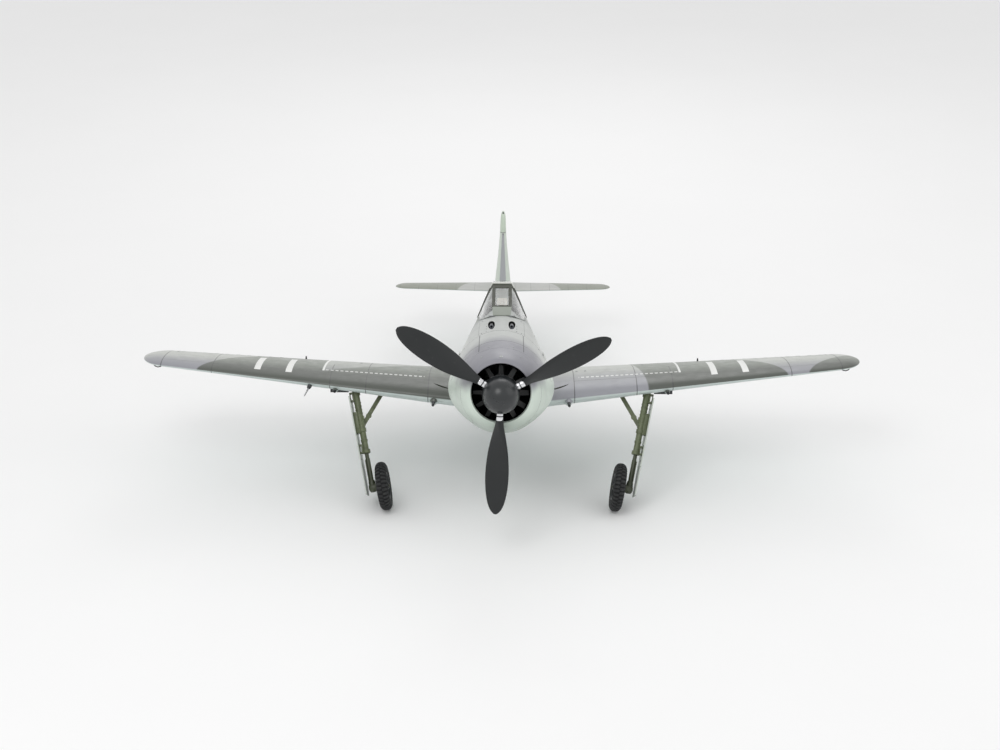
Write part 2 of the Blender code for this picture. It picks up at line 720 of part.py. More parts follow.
# ---------------------------------------------------------------- main gear pieces
def build_leg(pivot, side):
    """Upper cylinder with its trunnion, bored for the sliding piston."""
    down = GEAR["down"]
    name = side_name(side)
    end = LEG_PIVOT + down * GEAR["length"] * LEG_SHARE
    tube = rod(LEG_PIVOT - down * 0.004, end, STRUT_RADIUS, count=16)
    leg = new_object("gear_leg_" + name, mirrored(tube, side), pivot, GEAR_GREEN)
    axis = GEAR["axis"]
    trunnion = rod(LEG_PIVOT - axis * 0.016, LEG_PIVOT + axis * 0.016, 0.0054, count=12)
    foot = BRACE["foot"] + axis * BRACE["shift"]
    lug = rod(foot, foot + axis * 0.0078, 0.0046, count=12)
    hoop = turned(((-0.004, 0.0086), (0.004, 0.0086)), end - down * 0.004, down, 16, closed=False)
    door_arms = []
    frame = gear_matrix(False)
    for along in (0.040, 0.118):
        arm = box((along - 0.003, 0.002, -0.004), (along + 0.003, DOOR_OFFSET - GAP, 0.004))
        door_arms.append(placed(arm, frame))
    extras = [("trunnion", trunnion), ("brace_lug", lug), ("collar", hoop)]
    extras += [("door_arm_%d" % i, arm) for i, arm in enumerate(door_arms)]
    for label, mesh in extras:
        boolean(leg, new_object(label + "_" + name, mirrored(mesh, side), pivot), "UNION")
    bore = rod(end - down * 0.052, end + down * 0.010, PISTON_RADIUS + GAP, count=16)
    cut(leg, new_object("piston_bore_" + name, mirrored(bore, side), pivot))

    low = (0.020, DOOR_OFFSET, -DOOR_HALF)
    high = (GEAR["length"] + 0.012, DOOR_OFFSET + 0.0018, DOOR_HALF)
    door = placed(box(low, high), frame)
    new_object("gear_door_" + name, mirrored(door, side), pivot, DOOR_GREY)


def build_piston(pivot, side):
    """Sliding rod, its foot and the axle that the wheel turns on."""
    down, outward = GEAR["down"], GEAR["axle_down"]
    name = side_name(side)
    axle_end = AXLE_DOWN
    top = LEG_PIVOT + down * (GEAR["length"] * LEG_SHARE - 0.038)
    slider = rod(top, axle_end + down * 0.006, PISTON_RADIUS, count=16)
    piston = new_object("gear_piston_" + name, mirrored(slider, side), pivot, GEAR_GREEN)
    foot = rod(axle_end - down * 0.012, axle_end + down * 0.009, 0.0062, count=16)
    axle = rod(axle_end, axle_end - outward * (AXLE_OFFSET + 0.0125), 0.0024, count=12)
    for label, mesh in (("piston_foot", foot), ("axle", axle)):
        tool = new_object(label + "_" + name, mirrored(mesh, side), pivot)
        boolean(piston, tool, "UNION")


def wheel_profile(radius, crown, rim, width, count=7):
    """Closed (along, radius) outline of a tyre: a round crown over a flat-sided bead."""
    middle = radius - crown
    points = []
    for i in range(count + 1):
        angle = math.pi * i / count
        points.append((-crown * math.cos(angle), middle + crown * math.sin(angle)))
    return points + [(width / 2, rim), (-width / 2, rim)]


def build_wheel(pivot, centre, outward, side, name, radius, crown, rim, bore):
    width = crown * 1.7
    tyre = turned(wheel_profile(radius, crown, rim, width), centre, outward, 32)
    new_object(name + "_tyre" + suffix(side), mirrored(tyre, side), pivot, RUBBER)
    outer = rim - GAP
    half = width / 2
    profile = ((-half, outer), (-half, outer * 0.86), (-half * 0.45, outer * 0.74),
               (-half * 0.45, bore * 2.6), (-half, bore * 2.4), (-half, bore),
               (half, bore), (half, bore * 2.4), (half * 0.45, bore * 2.6),
               (half * 0.45, outer * 0.74), (half, outer * 0.86), (half, outer))
    hub = turned(profile, centre, outward, 24)
    new_object(name + "_hub" + suffix(side), mirrored(hub, side), pivot, STEEL, 0.7)


def suffix(side):
    return "" if side == 0 else "_" + side_name(side)


def link_bar(start, end, axis, near, far, half):
    """A flat bar with round ends between two pivots, lying between near and far along the axis."""
    along = (end - start).normalized()
    across = axis.cross(along)
    outline = []
    for centre, heading in ((end, 1.0), (start, -1.0)):
        for i in range(7):
            angle = math.pi * (i / 6 - 0.5)
            spoke = heading * (along * math.cos(angle) + across * math.sin(angle))
            outline.append(centre + spoke * half)
    return loft([[point + axis * offset for point in outline] for offset in (near, far)])


def build_braces(upper_pivot, lower_pivot, side):
    axis = GEAR["axis"]
    name = side_name(side)
    shift = axis * BRACE["shift"]
    head, foot = BRACE["head"] + shift, BRACE["foot"] + shift
    reach = (foot - head).normalized()
    knuckle = BRACE["knuckle"] + shift
    upper = link_bar(head, knuckle, axis, 0.0122, 0.0157, 0.0042)
    lower = link_bar(foot, knuckle + reach * 0.0006, axis, 0.0082, 0.0117, 0.0042)
    new_object("brace_upper_" + name, mirrored(upper, side), upper_pivot, GEAR_GREEN)
    new_object("brace_lower_" + name, mirrored(lower, side), lower_pivot, GEAR_GREEN)


def build_main_gear(root, side):
    name = side_name(side)
    axis = mirror_axis(GEAR["axis"], side)
    shift = GEAR["axis"] * BRACE["shift"]
    leg = make_pivot("gear_" + name, root, mirror_point(LEG_PIVOT, side), axis)
    build_leg(leg, side)
    compress = mirror_point(-GEAR["down"], side)
    oleo = make_pivot("oleo_" + name, leg, mirror_point(AXLE_DOWN, side), compress)
    build_piston(oleo, side)
    centre = AXLE_DOWN - GEAR["axle_down"] * AXLE_OFFSET
    spin_axis = mirror_point(GEAR["axle_down"], side)
    spin = make_pivot("wheel_" + name, oleo, mirror_point(centre, side), spin_axis)
    build_wheel(spin, centre, GEAR["axle_down"], side, "main", WHEEL_RADIUS, TYRE_CROWN,
                0.0275, 0.0024 + GAP)
    upper = make_pivot("brace_upper_" + name, root, mirror_point(BRACE["head"] + shift, side), axis)
    lower = make_pivot("brace_lower_" + name, leg, mirror_point(BRACE["foot"] + shift, side), axis)
    build_braces(upper, lower, side)


# ---------------------------------------------------------------- propeller, fan and motor
def blade_section(radius, chord, pitch, thick):
    """Eight-point lens section of a blade that stands along +Z, at one radius."""
    shape = ((-0.5, 0.0), (-0.28, 0.62), (0.05, 0.5), (0.35, 0.22), (0.5, 0.0),
             (0.35, -0.22), (0.05, -0.5), (-0.28, -0.42))
    turn = Matrix.Rotation(pitch, 3, "Z")
    points = [turn @ Vector((s * chord, h * thick, 0.0)) for s, h in shape]
    return [point + Vector((0.0, 0.0, radius)) for point in points]


def blade_mesh():
    """Round root, then a broad blade with a washed-out pitch and a round tip."""
    rings = []
    for radius in (0.0148, 0.0430):
        ring = []
        for i in range(8):
            angle = math.pi - math.tau * i / 8
            ring.append(Vector((0.0058 * math.cos(angle), 0.0058 * math.sin(angle), radius)))
        rings.append(ring)
    stations = ((0.056, 0.0195, 48, 0.0088), (0.080, 0.0340, 42, 0.0074),
                (0.115, 0.0470, 34, 0.0062), (0.155, 0.0510, 28, 0.0050),
                (0.190, 0.0455, 24, 0.0040), (0.215, 0.0340, 22, 0.0032),
                (0.229, 0.0200, 21, 0.0024), (PROP_RADIUS, 0.0060, 21, 0.0012))
    for radius, chord, pitch, thick in stations:
        rings.append(blade_section(radius, chord, math.radians(pitch), thick))
    return loft(rings)


def build_propeller(spin):
    """Spinner, hub with its back plate, and blades, which all turn with the motor's bell."""
    depth = -SPINNER_NOSE + 0.009
    outer = []
    inner = []
    steps = 8
    for i in range(steps + 1):
        share = i / steps
        along = SPINNER_NOSE + depth * share ** 1.7
        radius = SPINNER_RADIUS * (1.0 - (1.0 - share) ** 2.3) if i else 0.0015
        outer.append((along, radius))
    for along, radius in reversed(outer[1:]):
        inner.append((along + 0.0016 if radius < SPINNER_RADIUS * 0.97 else along, radius - 0.0014))
    spinner_mesh = turned(outer + inner + [(SPINNER_NOSE + 0.0016, 0.0008)], (0.0, 0.0, 0.0),
                          (0.0, 1.0, 0.0), 32)
    spinner = new_object("spinner", spinner_mesh, spin, BLACK)
    profile = ((-0.014, 0.0145), (0.0093, 0.0145), (0.0093, SPINNER_RADIUS),
               (0.0125, SPINNER_RADIUS), (0.0125, 0.003), (-0.014, 0.003))
    hub = turned(profile, (0.0, 0.0, 0.0), (0.0, 1.0, 0.0), 32)
    new_object("prop_hub", hub, spin, STEEL, 0.8)
    for i in range(BLADE_COUNT):
        turn = Matrix.Rotation(PROP_PHASE + math.tau * i / BLADE_COUNT, 4, "Y")
        new_object("prop_blade_%d" % (i + 1), placed(blade_mesh(), turn), spin, BLACK)
        opening = placed(rod((0.0, 0.0, 0.020), (0.0, 0.0, 0.05), 0.0072), turn)
        cut(spinner, new_object("blade_opening_%d" % (i + 1), opening, spin))


def build_cooling_fan(spin):
    """Twelve-bladed fan close behind the spinner."""
    y_axis = (0.0, 1.0, 0.0)
    ring = turned(((0.0150, 0.0300), (0.0270, 0.0330), (0.0270, 0.0040), (0.0150, 0.0040)),
                  (0.0, 0.0, 0.0), y_axis, 24)
    fan = new_object("cooling_fan", ring, spin, BLACK)
    blades = []
    for i in range(FAN_BLADES):
        blade = box((-0.0008, -0.0060, 0.026), (0.0008, 0.0060, FAN_RADIUS))
        tilt = Matrix.Rotation(math.radians(50), 4, "Z")
        turn = Matrix.Rotation(math.tau * i / FAN_BLADES, 4, "Y")
        shift = Matrix.Translation((0.0, 0.0205, 0.0))
        blades.append(placed(blade, shift @ turn @ tilt))
    boolean(fan, new_object("fan_blades", merged(*blades), spin), "UNION")


def build_motor(root, spin):
    """Outrunner bell and shaft on the propeller's side; stand-off mount and firewall on the body."""
    y_axis = (0.0, 1.0, 0.0)
    bell = turned(((-0.0100, 0.0027), (0.0480, 0.0027), (0.0480, 0.0150), (0.0530, 0.0250),
                   (0.0880, 0.0250), (0.0880, 0.0235), (0.0530, 0.0135), (0.0530, 0.0010)),
                  (0.0, 0.0, 0.0), y_axis, 24, closed=False)
    new_object("motor_bell", bell, spin, STEEL, 0.8)
    mount = turned(((0.0560, 0.0030), (0.0560, 0.0120), (0.0900, 0.0215), (0.0915, 0.0225),
                    (0.1597, 0.0330), (0.1597, 0.0250), (0.1000, 0.0180), (0.1000, 0.0030)),
                   (0.0, 0.0, 0.0), y_axis, 24)
    new_object("motor_mount", mount, root, STEEL, 0.6)
    wall = loft([body_section(y, inset=COWL_WALL + 0.0006) for y in (0.160, 0.165)])
    new_object("firewall", wall, root, PLY)


# ---------------------------------------------------------------- cockpit
def arch(y, low_half, low_z, top_half, top_z, inset=0.0):
    """Frame outline across the cockpit: nearly straight sloping sides and a narrow flat top."""
    rise = top_z - low_z
    shares = ((1.0, 0.0), (0.77, 0.25), (0.52, 0.52), (0.265, 0.78), (0.0, 1.0))
    right = []
    for lean, height in shares:
        x = top_half + (low_half - top_half) * lean
        right.append((x - inset * 0.9, low_z + (rise - inset) * height))
    points = right + [(-x, z) for x, z in reversed(right)]
    return [Vector((x, y, z)) for x, z in points]


def build_windscreen(root):
    rows = ((0.3745, 0.0300, 0.0906, 0.0180, 0.0951), (0.402, 0.0450, 0.0802, 0.0195, 0.1077),
            (0.440, 0.0505, 0.0750, 0.0198, 0.1225), (0.4805, 0.0525, 0.0720, 0.0195, 0.1415),
            (0.4870 - GAP, 0.0525, 0.0718, 0.0195, 0.1450))
    outer = [arch(*row) for row in rows]
    inner = [arch(*row, inset=0.0016) for row in rows]
    new_object("windscreen", shell_loft(outer, inner), root, GLASS)


def build_canopy(pivot):
    rows = ((0.4870, 0.0525, 0.0718, 0.0195, 0.1450), (0.520, 0.0520, 0.0715, 0.0185, 0.1462),
            (0.560, 0.0500, 0.0715, 0.0170, 0.1400), (0.600, 0.0470, 0.0720, 0.0150, 0.1270),
            (0.640, 0.0420, 0.0735, 0.0110, 0.1080), (0.668, 0.0370, 0.0760, 0.0070, 0.0935))
    outer = [arch(*row) for row in rows]
    inner = [arch(*row, inset=0.0016) for row in rows]
    new_object("canopy", shell_loft(outer, inner), pivot, GLASS)


def build_cockpit(root):
    low = (-COCKPIT_HALF + GAP, COCKPIT_Y[0] + GAP, 0.0150)
    high = (COCKPIT_HALF - GAP, COCKPIT_Y[1] - GAP, 0.0640)
    tub = new_object("cockpit_tub", box(low, high), root, SERVO)
    inside_low = (low[0] + 0.0015, low[1] + 0.0015, low[2] + 0.0015)
    inside = box(inside_low, (high[0] - 0.0015, high[1] - 0.0015, 0.10))
    cut(tub, new_object("tub_inside", inside, root))
    panel_y = COCKPIT_Y[0] + 0.030
    panel = box((-0.0370, panel_y, 0.0170), (0.0370, panel_y + 0.002, 0.0780))
    new_object("instrument_panel", panel, root, BLACK)
    profile = ((0.500, 0.0170), (0.556, 0.0170), (0.575, 0.1060), (0.566, 0.1060),
               (0.550, 0.0350), (0.500, 0.0290))
    seat = loft([[Vector((x, y, z)) for y, z in profile] for x in (-0.0190, 0.0190)])
    new_object("pilot_seat", seat, root, CREAM)


# ---------------------------------------------------------------- radio gear in the fuselage
def build_radio(root):
    tray = box((-0.060, 0.2040, -0.0225), (0.060, 0.4080, -0.0200))
    new_object("equipment_tray", tray, root, PLY)
    battery = box((-0.0230, 0.2060, -0.0197), (0.0230, 0.3560, 0.0230))
    new_object("flight_battery", battery, root, BATTERY)
    controller = box((-0.0180, 0.0995, -0.0560), (0.0180, 0.1590, -0.0400))
    new_object("speed_controller", controller, root, SERVO)
    receiver = box((-0.0140, 0.3600, -0.0197), (0.0140, 0.4050, -0.0050))
    new_object("radio_receiver", receiver, root, BLACK)
    for label, side in (("elevator", 1), ("rudder", -1)):
        case = mirrored(box((0.0035, 0.6600, -0.0350), (0.0235, 0.7000, 0.0020)), side)
        new_object(label + "_servo", case, root, SERVO)
    spar = pipe((-0.160, 0.410, -0.056), (0.160, 0.410, -0.056), 0.0060, 0.0050)
    new_object("wing_joiner_tube", spar, root, BLACK)


# ---------------------------------------------------------------- tail
def build_tail(root, elevator_pivot, rudder_pivot, tools):
    bar_y = TAIL_HINGE_Y
    tail = new_object("tailplane", tail_blank(), root, WING_GREY)
    behind = box((-0.30, bar_y - 0.0006, 0.0), (0.30, 1.20, 0.12))
    cut(tail, new_object("elevator_bay", behind, root), tools["rod_hole"])

    elevator = new_object("elevator", tail_blank(), elevator_pivot, WING_GREY)
    near = Vector((-0.30, bar_y, TAIL_Z))
    far = Vector((0.30, bar_y, TAIL_Z))
    blank = new_object("elevator_blank", wedge_prism(near, far, 0.62), root)
    boolean(elevator, blank, "INTERSECT")
    middle = box((-ELEVATOR_INNER_X, 1.05, 0.0), (ELEVATOR_INNER_X, 1.20, 0.12))
    cut(elevator, new_object("elevator_middle", middle, root))
    reach = ELEVATOR_INNER_X + 0.010
    bar = rod((-reach, bar_y + 0.0022, TAIL_Z), (reach, bar_y + 0.0022, TAIL_Z), 0.0017, count=10)
    boolean(elevator, new_object("elevator_torque_rod", bar, root), "UNION")

    levels = ((-0.0070, 1.172, 0.0042), (0.020, 1.205, 0.0070), (0.060, 1.222, 0.0078),
              (0.110, 1.227, 0.0069), (0.170, 1.216, 0.0057), (0.210, 1.197, 0.0048),
              (FIN_TOP_Z, 1.168, 0.0029))
    rings = []
    for z, trail, half in levels:
        hinge = RUDDER_HINGE_Y
        nose = half * 0.9
        rings.append([Vector((0.0, hinge - 0.0005, z)), Vector((half, hinge + nose, z)),
                      Vector((0.0006, trail, z)), Vector((-0.0006, trail, z)),
                      Vector((-half, hinge + nose, z))])
    new_object("rudder", loft(rings), rudder_pivot, GREY_TOP)


def tail_axle_height():
    """The tail wheel's axle height that stands the model at GROUND_ANGLE."""
    centre = AXLE_DOWN - GEAR["axle_down"] * AXLE_OFFSET
    tilt_sin, tilt_cos = math.sin(GROUND_ANGLE), math.cos(GROUND_ANGLE)
    reach = (WHEEL_RADIUS - TYRE_CROWN) * math.cos(WHEEL_CANT) + TYRE_CROWN
    ground = -centre.y * tilt_sin + centre.z * tilt_cos - reach
    return (ground + TAIL_WHEEL_RADIUS + TAIL_AXLE_Y * tilt_sin) / tilt_cos


def build_tail_gear(root, steer, spin, axle_z):
    """Castoring fork on its vertical post, and the wheel in it."""
    top = Vector((0.0, TAIL_STEER_Y, 0.0300))
    crown_z = axle_z + TAIL_WHEEL_RADIUS + 0.0020
    shoulder = Vector((0.0, TAIL_STEER_Y, crown_z + 0.003))
    fork = new_object("tail_fork", rod(top, shoulder, 0.0038, count=12), steer, GEAR_GREEN)
    crown = box((-0.0140, TAIL_STEER_Y - 0.006, crown_z), (0.0140, TAIL_AXLE_Y - 0.001, crown_z + 0.006))
    arms = []
    for side in (-1, 1):
        outline = ((TAIL_STEER_Y - 0.003, crown_z + 0.003), (TAIL_AXLE_Y - 0.004, crown_z + 0.004),
                   (TAIL_AXLE_Y + 0.005, axle_z - 0.004), (TAIL_AXLE_Y - 0.004, axle_z - 0.005))
        near, far = sorted((side * 0.0112, side * 0.0138))
        arms.append(loft([[Vector((x, y, z)) for y, z in outline] for x in (near, far)]))
    pin = rod((-0.0125, TAIL_AXLE_Y, axle_z), (0.0125, TAIL_AXLE_Y, axle_z), 0.0016, count=10)
    extras = (("fork_crown", crown), ("fork_arms", merged(*arms)), ("tail_axle", pin))
    for label, mesh in extras:
        boolean(fork, new_object(label, mesh, steer), "UNION")
    build_wheel(spin, Vector((0.0, TAIL_AXLE_Y, axle_z)), Vector((1.0, 0.0, 0.0)), 0, "tail",
                TAIL_WHEEL_RADIUS, 0.0095, 0.0120, 0.0016 + GAP)


# ---------------------------------------------------------------- assembly
def rest_on_ground(root):
    """Move the model so that its box stands on z = 0 with the origin under its middle."""
    bpy.context.view_layer.update()
    graph = bpy.context.evaluated_depsgraph_get()
    corners = []
    for obj in bpy.data.objects:
        if obj.type == "MESH" and not obj.hide_render:
            solid = obj.evaluated_get(graph)
            corners += [solid.matrix_world @ vert.co for vert in solid.data.vertices]
    low = [min(point[i] for point in corners) for i in range(3)]
    high = [max(point[i] for point in corners) for i in range(3)]
    root.location += Vector((-(low[0] + high[0]) / 2, -(low[1] + high[1]) / 2, -low[2]))
    bpy.context.view_layer.update()


def main():
    clear_scene()
    root = new_empty("airframe")
    root.rotation_euler = (-GROUND_ANGLE, 0.0, 0.0)
    frame_of[root.name] = Matrix.Identity(4)
    tools = {}

    build_cowling(root)
    build_fuselage(root, tools)
    hatch_hinge = (0.0, HATCH_Y[1], HATCH_HINGE_Z)
    hatch = make_pivot("hatch_hinge", root, hatch_hinge, (-1.0, 0.0, 0.0))
    build_hatch(root, hatch, tools)

    spin = make_pivot("prop_spin", root, (0.0, 0.0, 0.0), (0.0, 1.0, 0.0))
    build_propeller(spin)
    build_cooling_fan(spin)
    build_motor(root, spin)

    for side in (1, -1):
        build_wing(root, side)
        build_guns(root, side)
        build_retract_unit(root, side)
        name = side_name(side)
        near, far = (wing_point(x, AILERON_CHORD) for x in AILERON_X)
        axis = mirror_axis(far - near, side)
        pivot = make_pivot("aileron_" + name, root, mirror_point((near + far) / 2, side), axis)
        build_aileron(root, pivot, side)
        near, far = (wing_point(x, FLAP_CHORD, upper=False) for x in FLAP_X)
        axis = mirror_axis(near - far, side)
        pivot = make_pivot("flap_" + name, root, mirror_point((near + far) / 2, side), axis)
        build_flap(root, pivot, side)
        build_main_gear(root, side)

    build_windscreen(root)
    canopy = make_pivot("canopy_slide", root, (0.0, 0.560, 0.0718), (0.0, 1.0, 0.0))
    build_canopy(canopy)
    build_cockpit(root)
    build_radio(root)

    elevator = make_pivot("elevator", root, (0.0, TAIL_HINGE_Y, TAIL_Z), (1.0, 0.0, 0.0))
    rudder = make_pivot("rudder", root, (0.0, RUDDER_HINGE_Y, 0.10), (0.0, 0.0, 1.0))
    build_tail(root, elevator, rudder, tools)
    axle_z = tail_axle_height()
    steer = make_pivot("tail_steer", root, (0.0, TAIL_STEER_Y, 0.0), (0.0, 0.0, 1.0))
    roll = make_pivot("tail_wheel", steer, (0.0, TAIL_AXLE_Y, axle_z), (1.0, 0.0, 0.0))
    build_tail_gear(root, steer, roll, axle_z)
    rest_on_ground(root)


main()
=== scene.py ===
"""Looks for the radio-controlled warbird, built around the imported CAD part.

Pieces are drawn level, in metres: -Y is the nose, +X the left-hand (port) wing, +Z up, and the
origin is the centre of the propeller disc. LEVEL then stands them nose-up, where the CAD part is.
"""
import json
import math

import bmesh
import bpy
from mathutils import Matrix, Vector

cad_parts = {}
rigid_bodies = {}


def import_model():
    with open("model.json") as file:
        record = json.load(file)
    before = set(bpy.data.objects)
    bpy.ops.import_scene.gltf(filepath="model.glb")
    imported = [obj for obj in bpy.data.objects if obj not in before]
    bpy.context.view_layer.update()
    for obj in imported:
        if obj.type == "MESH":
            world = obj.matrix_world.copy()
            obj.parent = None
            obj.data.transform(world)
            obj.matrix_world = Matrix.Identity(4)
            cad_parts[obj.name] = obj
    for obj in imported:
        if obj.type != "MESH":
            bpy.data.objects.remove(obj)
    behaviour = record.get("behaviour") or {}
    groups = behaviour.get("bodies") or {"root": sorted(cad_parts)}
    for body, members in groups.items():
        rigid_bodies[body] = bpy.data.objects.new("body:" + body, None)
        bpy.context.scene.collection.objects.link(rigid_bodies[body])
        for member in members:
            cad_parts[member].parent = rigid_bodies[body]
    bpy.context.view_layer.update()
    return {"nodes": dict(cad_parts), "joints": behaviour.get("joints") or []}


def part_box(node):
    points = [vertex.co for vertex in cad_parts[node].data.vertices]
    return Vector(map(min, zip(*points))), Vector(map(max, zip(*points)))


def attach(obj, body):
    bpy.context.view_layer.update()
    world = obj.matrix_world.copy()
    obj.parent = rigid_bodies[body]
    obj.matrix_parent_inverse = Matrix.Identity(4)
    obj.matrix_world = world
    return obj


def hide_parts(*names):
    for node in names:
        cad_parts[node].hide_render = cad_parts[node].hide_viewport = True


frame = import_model()

spin_joint = next(joint for joint in frame["joints"] if joint["name"] == "prop_spin")
nose_up = math.atan2(spin_joint["axis"][2], spin_joint["axis"][1])
LEVEL = Matrix.Translation(spin_joint["pos_m"]) @ Matrix.Rotation(nose_up, 4, "X")
GAP = 0.0003
Y_AXIS = Vector((0.0, 1.0, 0.0))
X_AXIS = Vector((1.0, 0.0, 0.0))

CAMERA_PITCH, CAMERA_YAW, CAMERA_ROLL = (math.radians(angle) for angle in (10.68, 0.21, 0.28))
CAMERA_PLACE, CAMERA_LENS, CAMERA_SENSOR, CAMERA_END = (0.0114, -3.621, 0.721), 69.7, 36.0, 60.0
WORLD_STRENGTH = 0.82
FLOOR_SIZE, FLOOR_DROP = 12.0, 0.0006
LIGHTS = (("key_light", (-0.9, -2.2, 2.6), (0.0, 0.0, 0.2), 1.6, 17.0),
          ("fill_light", (1.8, -1.0, 1.6), (0.0, 0.1, 0.2), 1.8, 4.0),
          ("back_light", (0.2, 2.4, 2.2), (0.0, 0.2, 0.2), 1.6, 9.0))


# ---------------------------------------------------------------- camera, floor and light
def place_camera():
    level = math.cos(CAMERA_PITCH)
    forward = Vector((-level * math.sin(CAMERA_YAW), level * math.cos(CAMERA_YAW),
                      -math.sin(CAMERA_PITCH)))
    flat = forward.cross(Vector((0.0, 0.0, 1.0))).normalized()
    rise = flat.cross(forward)
    right = flat * math.cos(CAMERA_ROLL) + rise * math.sin(CAMERA_ROLL)
    up = rise * math.cos(CAMERA_ROLL) - flat * math.sin(CAMERA_ROLL)
    data = bpy.data.cameras.new("camera")
    data.lens, data.sensor_width, data.clip_end = CAMERA_LENS, CAMERA_SENSOR, CAMERA_END
    camera = bpy.data.objects.new("camera", data)
    bpy.context.scene.collection.objects.link(camera)
    turn = Matrix((right, up, -forward)).transposed().to_4x4()
    camera.matrix_world = LEVEL @ Matrix.Translation(CAMERA_PLACE) @ turn
    bpy.context.scene.camera = camera


def area_light(name, place, target, size, power):
    data = bpy.data.lights.new(name, "AREA")
    data.shape, data.size, data.energy = "DISK", size, power
    light = bpy.data.objects.new(name, data)
    bpy.context.scene.collection.objects.link(light)
    aim = (Vector(target) - Vector(place)).to_track_quat("-Z", "Y").to_matrix().to_4x4()
    light.matrix_world = Matrix.Translation(place) @ aim


def build_studio():
    scene = bpy.context.scene
    scene.view_settings.view_transform = "Standard"
    world = bpy.data.worlds.new("studio")
    world.use_nodes = True
    background = world.node_tree.nodes["Background"]
    background.inputs["Color"].default_value = (1.0, 1.0, 1.0, 1.0)
    background.inputs["Strength"].default_value = WORLD_STRENGTH
    scene.world = world
    for settings in LIGHTS:
        area_light(*settings)
    bm = bmesh.new()
    bmesh.ops.create_grid(bm, x_segments=2, y_segments=2, size=FLOOR_SIZE)
    mesh = bpy.data.meshes.new("floor")
    bm.to_mesh(mesh)
    bm.free()
    floor = bpy.data.objects.new("floor", mesh)
    floor.location = (0.0, 0.0, -FLOOR_DROP)
    scene.collection.objects.link(floor)
    pale = Finish("floor_white", 0.9)
    pale.colour(pale.toned((0.93, 0.93, 0.93), 0.01, 3.0))
    mesh.materials.append(pale.material)


# ---------------------------------------------------------------- procedural finishes
def rgb(red, green, blue):
    """A colour seen on screen (0-255) as linear light."""
    parts = []
    for part in (red, green, blue):
        part /= 255.0
        parts.append(part / 12.92 if part <= 0.04045 else ((part + 0.055) / 1.055) ** 2.4)
    return tuple(parts)


BUMP_DEPTH = 0.0004
BODY_LINE, WING_LINE = 0.0007, 0.0009


